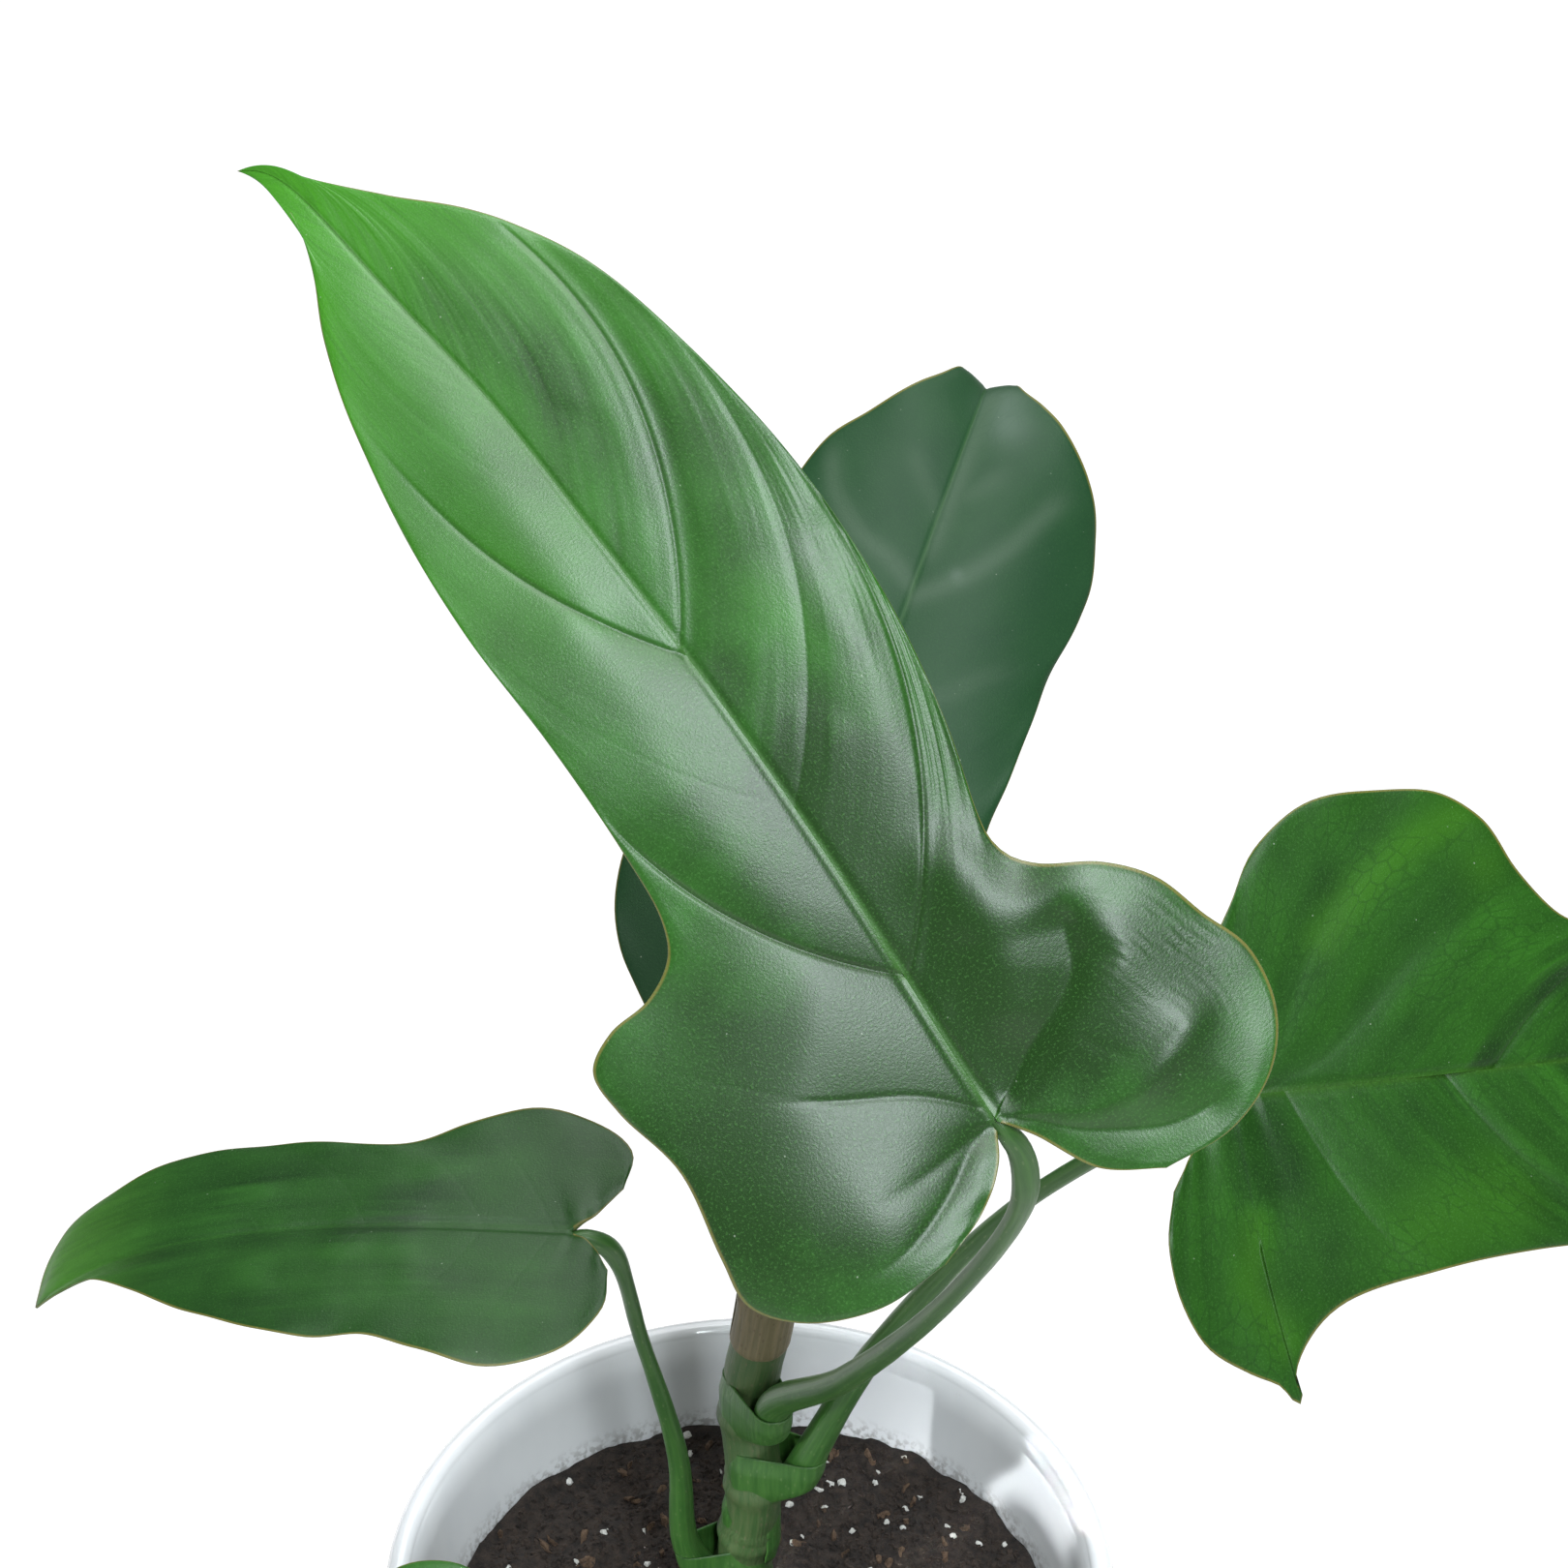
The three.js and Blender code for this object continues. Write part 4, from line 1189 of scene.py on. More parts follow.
@dataclass
class Blade:
    """A leaf blade with its midrib channel, rib grooves, swollen panels and thin waved margin.

    Sizes are in millimetres. A pair gives the size at the petiole and at the tip, or the two
    places between which something sets in: distances, or parts of the length or the width.
    """

    leaf: Leaf
    half_thickness: float = 0.30
    margin_thickness: float = 0.11
    margin_taper: float = 3.0
    margin_round: float = 0.12
    channel_depth: Knots = ((-0.05, 0.1), (0, 0.35), (0.13, 0.35), (0.3, 0.22), (0.56, 0.15), (1, 0.05))
    channel_width: Knots = ((0, 1.4), (0.15, 1.2), (0.3, 1.0), (0.56, 0.7), (1, 0.45))
    channel_wall: int = 6
    midrib_rise: float = 0.2
    midrib_share: float = 0.42
    midrib_band: float = 0.55
    midrib_start: Range = (-8, -1)
    midrib_end: float = 30
    keel: Range = (1.3, 0.25)
    keel_width: Range = (2.0, 0.7)
    keel_start: Range = (-7, 1)
    keel_taper: float = 0.7
    groove_width: float = 0.45
    full_groove: float = 0.3
    pale_width: float = 2.2
    ridge: float = 0.35
    ridge_width: float = 1.0
    ridge_margin: float = 6
    valley_round: float = 0.8
    droop_round: float = 3.0
    wave_length: float = 37.0
    wave_reach: float = 5.0
    wave_shift: float = 1.7
    wave_chords: Range = (4, 25)
    ripple_share: float = 0.43
    ripple_height: float = 0.5
    ripple_shift: float = 0.6
    pleats_at_foot: float = 0.3
    pleats_full: Range = (0.12, 0.3)
    pleats_margin_loss: float = 0.6
    pleats_fade: Range = (0.55, 0.95)
    young_stretch: float = 0.2
    young_edge: float = 8
    young_edge_full: Range = (0.2, 0.5)
    column_crowding: float = 1.5
    points: list[Array] = field(default_factory=list)
    faces: list[list[int]] = field(default_factory=list)
    values: dict[str, list[Array]] = field(default_factory=dict)

    def toward_tip(self, ends: Range, y: Array) -> Array:
        """Returns a size that shrinks from the petiole to the tip."""
        part = np.clip(y / self.leaf.shape.length, 0, 1)
        return ends[0] + (ends[1] - ends[0]) * part**self.keel_taper

    @staticmethod
    def vein_lines(half: BladeHalf) -> list[tuple[MeasuredLine, Crease]]:
        """Lists a half's ribs and veins.

        Args:
            half: the half.

        Returns:
            Each as a flat line with its crease.
        """
        run = np.linspace(0, 1, 24)
        ribs = [(half.points(np.array([rib.start]), run)[0], rib.crease) for rib in half.drawn.ribs]
        veins = [(smooth_line(vein.way, 6), vein.crease) for vein in half.drawn.veins]
        return [(MeasuredLine(way), crease) for way, crease in ribs + veins]

    def valley_at(self, gap: Array, crease: Crease) -> Array:
        """Measures a vein's broad valley.

        Args:
            gap: distances from the vein, above 0 on its tipward side.
            crease: how the vein presses into the blade.

        Returns:
            The valley's depth at those distances.
        """
        off = gap + crease.shift
        away = np.sqrt(off**2 + self.valley_round**2) - self.valley_round
        return crease.valley * np.exp(-away / np.where(off > 0, crease.tipward, crease.footward))

    def vein_marks(self, sheet: Sheet) -> tuple[Array, Array, Array, Array]:
        """Measures how a half's ribs and veins show.

        Args:
            sheet: the half's grid.

        Returns:
            The height of their grooves and valleys, and how strong their grooves, their pale
            bands and their ridges on the underside are, from 0 to 1.
        """
        relief, groove, pale, ridge = (np.zeros(sheet.rim.shape) for _ in range(4))
        for line, crease in self.vein_lines(sheet.half):
            gap, along = line.gap_to(sheet.flat)
            fade = 1 - eased(along, crease.hold, 1)
            near = hump(gap, self.groove_width) * fade
            relief = relief - crease.groove * near - self.valley_at(gap * sheet.half.side, crease) * fade
            groove = np.maximum(groove, near * min(1.0, crease.groove / self.full_groove))
            pale = np.maximum(pale, crease.pale * hump(gap, self.pale_width) * fade)
            ridge = np.maximum(ridge, hump(gap, self.ridge_width) * fade)
        return relief, groove, pale, ridge

    def relief_of(self, sheet: Sheet) -> Array:
        """Shapes a half: swellings, the hanging edge, the midrib's channel and the waved margin.

        Args:
            sheet: the half's grid.

        Returns:
            The height of its surface over the plain bent one.
        """
        drawn = sheet.half.drawn
        x, y = sheet.flat[..., 0], sheet.flat[..., 1]
        relief = patched(drawn.swells, sheet.flat)
        outside = abs(x) - smooth_value(drawn.droop_from, y)
        relief = relief - drawn.droop * (outside + np.sqrt(outside**2 + self.droop_round**2)) / 2
        width = smooth_value(self.channel_width, y / self.leaf.shape.length)
        depth = smooth_value(self.channel_depth, y / self.leaf.shape.length)
        relief = relief - depth / (1 + (abs(x) / width) ** self.channel_wall)
        relief = relief + self.midrib_rise * depth * hump(x, self.midrib_share * width)
        turns = 2 * np.pi * sheet.outer / self.wave_length
        waves = np.sin(turns + self.wave_shift * sheet.half.side)
        waves = waves + self.ripple_height * np.sin(turns / self.ripple_share + self.ripple_shift)
        edge = np.exp(-sheet.rim / self.wave_reach) * eased(sheet.chord, *self.wave_chords)
        return relief + self.leaf.wave * waves * edge

    def marks_of(self, sheet: Sheet, groove: Array, pale: Array) -> Values:
        """Gathers what the finish reads from a half's points.

        Args:
            sheet: the half's grid.
            groove: how strong the veins' grooves are.
            pale: how strong the veins' pale bands are.

        Returns:
            The point attributes by name.
        """
        finish = self.leaf.finish
        side = sheet.half.side
        level = np.zeros(sheet.rim.shape)
        lengthwise = (sheet.inner + sheet.outer) / 2 * side
        x, y = sheet.flat[..., 0], sheet.flat[..., 1]
        part = y / self.leaf.shape.length
        width = smooth_value(self.channel_width, part)
        midrib = hump(x, width * self.midrib_band) * eased(y, *self.midrib_start)
        tip = eased(part, finish.young_from - self.young_stretch, 1.0)
        edge = np.exp(-sheet.rim / self.young_edge) * eased(part, *self.young_edge_full)
        pleated = self.pleats_at_foot + (1 - self.pleats_at_foot) * eased(part, *self.pleats_full)
        pleated = pleated * (1 - self.pleats_margin_loss * eased(sheet.part, *self.pleats_fade))
        return {
            "flat": np.stack([x, y, level], -1),
            "grain": np.stack([lengthwise, sheet.part * sheet.chord, level], -1),
            "midrib": midrib * eased(self.leaf.shape.length - y, 0, self.midrib_end),
            "crease": groove,
            "vale": pale,
            "rim": sheet.rim,
            # Young green toward the tip and along the left margin: partly young tissue, partly painted
            # light shining through the blade.
            "young": np.clip(tip + finish.margin_young_and_painted_light * edge * (side < 0), 0, 1),
            # Patch strengths: above 0 young green, below 0 painted shade.
            "patch_tint_and_painted_shade": patched(finish.patches, sheet.flat),
            "pleated": sheet.half.drawn.pleats * pleated,
            "ripple": patched(finish.ripples, sheet.flat),
            "under": level,
        }

    def half_sheet(self, half: BladeHalf, other: BladeHalf) -> None:
        """Adds one half of the blade, upper side, edge and underside.

        Args:
            half: the half to add.
            other: the other half.
        """
        sheet = Sheet(self.leaf, half, other, self.column_crowding)
        x, y = sheet.flat[..., 0], sheet.flat[..., 1]
        pressed, groove, pale, ridge = self.vein_marks(sheet)
        relief = pressed + self.relief_of(sheet)
        fullness = eased(sheet.rim, 0, self.margin_taper)
        thick = self.margin_thickness + (self.half_thickness - self.margin_thickness) * fullness
        keel = self.toward_tip(self.keel, y) * hump(x, self.toward_tip(self.keel_width, y))
        keel = keel * eased(y, *self.keel_start)
        keel = keel + self.ridge * ridge * eased(sheet.rim, 0, self.ridge_margin)
        point, normal = BentSurface(self.leaf).at(sheet.flat)
        upper = point + normal * (relief + thick)[..., None]
        lower = point + normal * (relief - thick - keel)[..., None]
        self.stitch(sheet, upper, lower, self.marks_of(sheet, groove, pale))

    def stitch(self, sheet: Sheet, upper: Array, lower: Array, values: Values) -> None:
        """Joins the upper and lower sheets of a half along its free edges.

        Args:
            sheet: the half's grid. Past its petiole_row the inner edge is free too.
            upper: the upper side's points by row and column.
            lower: the underside's points by row and column.
            values: attributes of the upper side, by row and column.
        """
        rows, columns = upper.shape[:2]
        petiole_row = sheet.petiole_row
        base = sum(len(p) for p in self.points)
        number = np.arange(rows * columns).reshape(rows, columns)
        top, bottom = base + number, base + rows * columns + number
        rim_top = base + 2 * rows * columns

        def ring(column: int, beside: int) -> Array:
            """Rounds an edge.

            Args:
                column: the edge's column.
                beside: the column next to it.

            Returns:
                The rounded edge's points, a little outside the column.
            """
            middle = (upper[:, column] + lower[:, column]) / 2
            out = middle - (upper[:, beside] + lower[:, beside]) / 2
            size = np.maximum(np.linalg.norm(out, axis=1, keepdims=True), 1e-6)
            return middle + out / size * np.minimum(self.margin_round, size)

        edges = [ring(-1, -2), ring(0, 1)[petiole_row:]]
        self.points += [upper.reshape(-1, 3), lower.reshape(-1, 3), *edges]
        for key, value in values.items():
            rows_of = value.reshape(rows * columns, -1)
            beneath = np.ones_like(rows_of) if key == "under" else rows_of
            rims = [value[:, -1].reshape(rows, -1), value[petiole_row:, 0].reshape(rows - petiole_row, -1)]
            if key == "under":
                rims = [np.full_like(r, 0.5) for r in rims]
            self.values.setdefault(key, []).extend([rows_of, beneath, *rims])

        def face(a: int, b: int, c: int, d: int) -> None:
            """Adds a face that points out on this half."""
            self.faces.append([a, b, c, d] if sheet.half.side > 0 else [d, c, b, a])

        for i in range(rows - 1):
            for j in range(columns - 1):
                face(top[i, j], top[i + 1, j], top[i + 1, j + 1], top[i, j + 1])
                face(bottom[i, j + 1], bottom[i + 1, j + 1], bottom[i + 1, j], bottom[i, j])
            edge = rim_top + i
            face(top[i, -1], top[i + 1, -1], edge + 1, edge)
            face(edge, edge + 1, bottom[i + 1, -1], bottom[i, -1])
            if i >= petiole_row:
                edge = rim_top + rows + i - petiole_row
                face(top[i + 1, 0], top[i, 0], edge, edge + 1)
                face(edge + 1, edge, bottom[i, 0], bottom[i + 1, 0])

    def build(self) -> None:
        """Builds, dresses and hands over the blade."""
        leaf = self.leaf
        halves = [BladeHalf(leaf.shape.length, half) for half in (leaf.shape.left, leaf.shape.right)]
        self.half_sheet(halves[0], halves[1])
        self.half_sheet(halves[1], halves[0])
        values = {}
        for key, parts in self.values.items():
            joined = np.concatenate(parts)
            values[key] = joined if joined.shape[1] == 3 else joined[:, 0]
        name = f"blade_{leaf.name}_fine"
        mesh = mesh_of(name, *welded(np.concatenate(self.points), self.faces, values))
        settle(shown(name, mesh, self.material()), [f"blade_{leaf.name}"])

    def material(self) -> Material:
        """Dresses the blade: mottled green along its ribs, paler midrib, thin coloured margin.

        Returns:
            The blade's material.
        """
        finish = self.leaf.finish
        shader = Shader(f"leaf_{self.leaf.name}")
        shader.surface.inputs["IOR"].default_value = finish.ior

        # Patterns over the flat blade and along its ribs, in millimetres.
        flat = shader.attribute("flat", "Vector")
        grain = flat if finish.lengthwise else shader.attribute("grain", "Vector")
        under = shader.attribute("under")
        broad = shader.noise(flat, 0.07, 2.0)
        streak = shader.noise(shader.stretched(grain, (0.85, 0.05, 1.0)), 1.0, 4.0, 0.6)
        fibre = shader.noise(shader.stretched(grain, (3.2, 0.22, 1.0)), 1.0, 2.0, 0.5)
        mottle = shader.noise(flat, 1.3, 3.0, 0.6)
        speck = shader.noise(flat, 2.4, 2.0, 0.6)
        pleats = shader.noise(shader.stretched(grain, (0.12, 0.014, 1.0)), 1.0, 2.0, 0.42)
        uneven = shader.step(shader.noise(flat, 0.045, 1.0), 0.4, 0.62, 0.45, 1.3)
        pleated = shader.times(shader.attribute("pleated"), uneven)

        # Deep to mid green by the patterns, darkened in patches as painted shade, then young green toward
        # the tip and in patches, partly painted light shining through the blade.
        tone = shader.plus(shader.times(broad, 1.1), -0.05)
        stripes = shader.plus(shader.times(pleats, 1.8), shader.times(streak, 0.4))
        stripes = shader.times(shader.less(stripes, 1.1), pleated)
        tone = shader.plus(tone, shader.times(stripes, finish.streaks * 2))
        tone = shader.plus(tone, shader.times(shader.less(mottle, 0.5), 0.5))
        patch_tint_and_painted_shade = shader.attribute("patch_tint_and_painted_shade")
        # Patches below 0 darken the green toward deep: painted shade.
        tone = shader.plus(tone, shader.math("MINIMUM", patch_tint_and_painted_shade, 0.0), clamp=True)
        colour = shader.mix(tone, finish.deep, finish.mid)
        # Young green toward the tip and left margin, partly painted light through the blade, and in patches
        # above 0, which on the back leaf are painted sheen.
        young_and_painted_share = shader.times(shader.attribute("young"), shader.step(streak, 0.2, 0.75, 0.55, 1.0))
        colour = shader.mix(shader.plus(young_and_painted_share, patch_tint_and_painted_shade, clamp=True), colour, finish.young)

        # Pale bands, veins, midrib and margin, then specks, the finest net of veins and pale dots.
        vale = shader.attribute("vale")
        colour = shader.mix(shader.times(vale, finish.vale_show), colour, finish.under)
        colour = shader.mix(shader.times(shader.attribute("crease"), finish.vein_show), colour, finish.vein)
        midrib = shader.times(shader.attribute("midrib"), finish.midrib_show)
        colour = shader.mix(midrib, colour, finish.midrib)
        rim = shader.attribute("rim")
        colour = shader.mix(shader.step(rim, 0.15, 0.55, 0.85, 0.0), colour, finish.rim)
        colour = shader.mix(shader.step(speck, 0.53, 0.7, 0.0, finish.specks), colour, finish.speck)
        net = shader.cells(shader.stretched(grain, (1.0, 0.6, 1.0)), 0.42, "DISTANCE_TO_EDGE")
        net = shader.times(shader.step(net, 0.01, 0.09, finish.net, 0.0), shader.step(broad, 0.4, 0.6))
        colour = shader.mix(net, colour, finish.deep)
        dots = shader.step(shader.cells(flat, 0.34), 0.03, 0.07, 0.6, 0.0)
        colour = shader.mix(shader.times(dots, shader.step(mottle, 0.5, 0.6)), colour, finish.dot)
        below = shader.mix(shader.times(vale, 0.5), finish.under, finish.midrib)
        colour = shader.mix(under, colour, below)

        # Fine surface: ripples by the margin, pleats, fibres and grain.
        phase = shader.plus(shader.times(rim, 3.6), shader.times(mottle, 2.2))
        ripples = shader.times(shader.math("SINE", phase), shader.attribute("ripple"))
        ripples = shader.times(ripples, shader.step(shader.noise(flat, 0.22, 1.0), 0.35, 0.65))
        normal = shader.bump(ripples, 0.04 * MM, 1.0)
        folds = shader.plus(shader.times(pleats, 0.4 * MM), shader.times(streak, 0.004 * MM))
        normal = shader.bump(shader.times(folds, pleated), 1.0, 1.0, normal)
        normal = shader.bump(fibre, 0.12 * MM, 0.05, normal)
        normal = shader.bump(speck, 0.06 * MM, 0.7, normal)
        rough = shader.plus(shader.times(mottle, 0.08), finish.roughness - 0.04)
        return shader.finish(colour, normal, shader.plus(rough, shader.times(under, 0.16)))


@dataclass(frozen=True)
class StalkFinish:
    """Colours and gloss of a stem, petiole or root."""

    name: str
    base: Colour
    streak: Colour
    fleck: Colour
    roughness: float = 0.45
    bump: float = 0.35
    fleck_share: float = 0.5

    def material(self) -> Material:
        """Dresses a stalk with streaks along it and small flecks.

        Returns:
            The stalk's material.
        """
        shader = Shader(self.name, self.roughness)
        around = shader.attribute("around", "Vector")
        streak = shader.noise(shader.stretched(around, (1.4, 1.4, 0.06)), 1.0, 3.0)
        mottle = shader.noise(shader.place, 260.0, 3.0)
        cells = shader.cells(shader.stretched(around, (1.0, 1.0, 0.4)), 0.9)
        fleck = shader.times(shader.step(cells, 0.12, 0.22, 1.0, 0.0), self.fleck_share)
        colour = shader.mix(shader.step(streak, 0.35, 0.7), self.base, self.streak)
        colour = shader.mix(shader.step(mottle, 0.45, 0.7, 0.0, 0.35), colour, self.streak)
        colour = shader.mix(fleck, colour, self.fleck)
        normal = shader.bump(streak, 0.4 * MM, self.bump)
        return shader.finish(colour, shader.bump(mottle, 0.15 * MM, self.bump, normal))


PETIOLE_FINISH = StalkFinish(
    "petiole_green", (0.024, 0.085, 0.014), (0.042, 0.12, 0.022), (0.10, 0.16, 0.06), 0.4)
STEM_FINISH = StalkFinish(
    "stem_green", (0.030, 0.075, 0.018), (0.06, 0.095, 0.032), (0.12, 0.10, 0.06), 0.55, 0.6)
ROOT_FINISH = StalkFinish(
    "root_brown", (0.07, 0.04, 0.022), (0.12, 0.075, 0.042), (0.18, 0.13, 0.09), 0.8, 0.9)
YOUNG_FINISH = StalkFinish(
    "young_green", (0.07, 0.19, 0.03), (0.10, 0.24, 0.045), (0.15, 0.28, 0.09), 0.38, 0.25, 0.2)
SHEATH_FINISH = StalkFinish(
    "sheath_papery", (0.11, 0.095, 0.045), (0.17, 0.135, 0.07), (0.06, 0.035, 0.02), 0.6, 0.6)


@dataclass(frozen=True)
class Section:
    """A stalk's round section, and the small lumps of its surface."""

    sides: int
    lump: float
    lump_scale: float


class StalkTree:
    """A geometry node tree that sweeps a round section along a line of points with a radius."""

    def __init__(self) -> None:
        """Builds the tree with its Sides, Lump Height and Lump Scale inputs."""
        tree = Tree("stalk")
        self.tree = tree
        sides = tree.input("Sides", "Int")
        lump = tree.input("Lump Height", "Float")
        lump_scale = tree.input("Lump Scale", "Float")
        rail = tree.result("GeometryNodeMeshToCurve", {"Mesh": tree.geometry})
        radius = tree.result("GeometryNodeInputNamedAttribute", {"Name": "radius_here"}, data_type="FLOAT")
        section = tree.result("GeometryNodeCurvePrimitiveCircle", {"Resolution": sides, "Radius": 1.0})
        inputs = {"Curve": rail, "Profile Curve": section, "Scale": radius, "Fill Caps": True}
        tube = tree.result("GeometryNodeCurveToMesh", inputs)
        place = tree.result("GeometryNodeInputPosition")
        lumps = tree.result("ShaderNodeTexNoise", {"Vector": place, "Scale": lump_scale, "Detail": 2.0})
        height = tree.times(tree.less(lumps, 0.5), lump)
        moved = tree.moved(tube, tree.scaled(tree.result("GeometryNodeInputNormal"), height))
        tree.close(tree.result("GeometryNodeSetShadeSmooth", {"Geometry": moved}))

    def sweep(self, name: str, way: Array, radii: Array, section: Section,
              material: Material) -> Object:
        """Sweeps one stalk.

        Args:
            name: the piece's name.
            way: its centre line, in millimetres.
            radii: its radius at each point, in millimetres.
            section: its sides and lumps.
            material: its finish.

        Returns:
            The stalk as a plain mesh, with its places round and along it as an attribute.
        """
        line = bpy.data.meshes.new(name + "_line")
        line.from_pydata((way * MM).tolist(), [(i, i + 1) for i in range(len(way) - 1)], [])
        layer = line.attributes.new("radius_here", "FLOAT", "POINT")
        layer.data.foreach_set("value", (radii * MM).astype(np.float32))
        obj = self.tree.bake(name, line, {
            "Sides": section.sides, "Lump Height": section.lump * MM, "Lump Scale": section.lump_scale,
            "Material": material,
        })
        self.mark_around(obj.data, way)
        return obj

    @staticmethod
    def mark_around(mesh: Mesh, way: Array) -> None:
        """Stores each point's offset from a centre line, and its distance along the line.

        Args:
            mesh: the mesh, in metres.
            way: the centre line, in millimetres.
        """
        points = np.array([v.co for v in mesh.vertices]) / MM
        nearest = np.argmin(np.linalg.norm(points[:, None] - way[None], axis=2), axis=1)
        tangent = unit(np.gradient(way, axis=0)[nearest])
        offset = points - way[nearest]
        along = np.sum(offset * tangent, axis=1)
        offset = offset - along[:, None] * tangent
        across = unit(np.cross(tangent, (0.3, 0.9, 0.1)))
        second = np.cross(tangent, across)
        distance = MeasuredLine(way).distances[nearest] + along
        placed = np.stack([np.sum(offset * across, 1), np.sum(offset * second, 1), distance], 1)
        layer = mesh.attributes.new("around", "FLOAT_VECTOR", "POINT")
        layer.data.foreach_set("vector", placed.astype(np.float32).ravel())


@dataclass(frozen=True)
class Root:
    """An aerial root: where it leaves the stem, how far it reaches out, and its thickness there."""

    azimuth: float
    height: float
    reach: float
    thickness: float


@dataclass(frozen=True)
class BaseSizes:
    """Sizes of the swelling through which a petiole grows out of the stem.

    It runs from below to above the petiole's foot and is at the petiole from full_below on. It
    lies raised over the surfaces that it joins, and sinks under them at both of its ends and,
    from the angle side_sink to wrap, at its sides.
    """

    below: float = 10.0
    above: float = 6.5
    full_below: float = 0.8
    wrap: float = 140.0
    side_sink: float = 105.0
    side_depth: float = 0.5
    end_depth: float = 0.35
    raised: float = 0.75
    rise: Range = (0.0, 0.25)
    fall: Range = (0.72, 1.0)
    thickness: float = 0.4
    columns: int = 81
    levels: int = 30
    shares: int = 21
    grain_line: tuple[int, int] = (-14, 16)


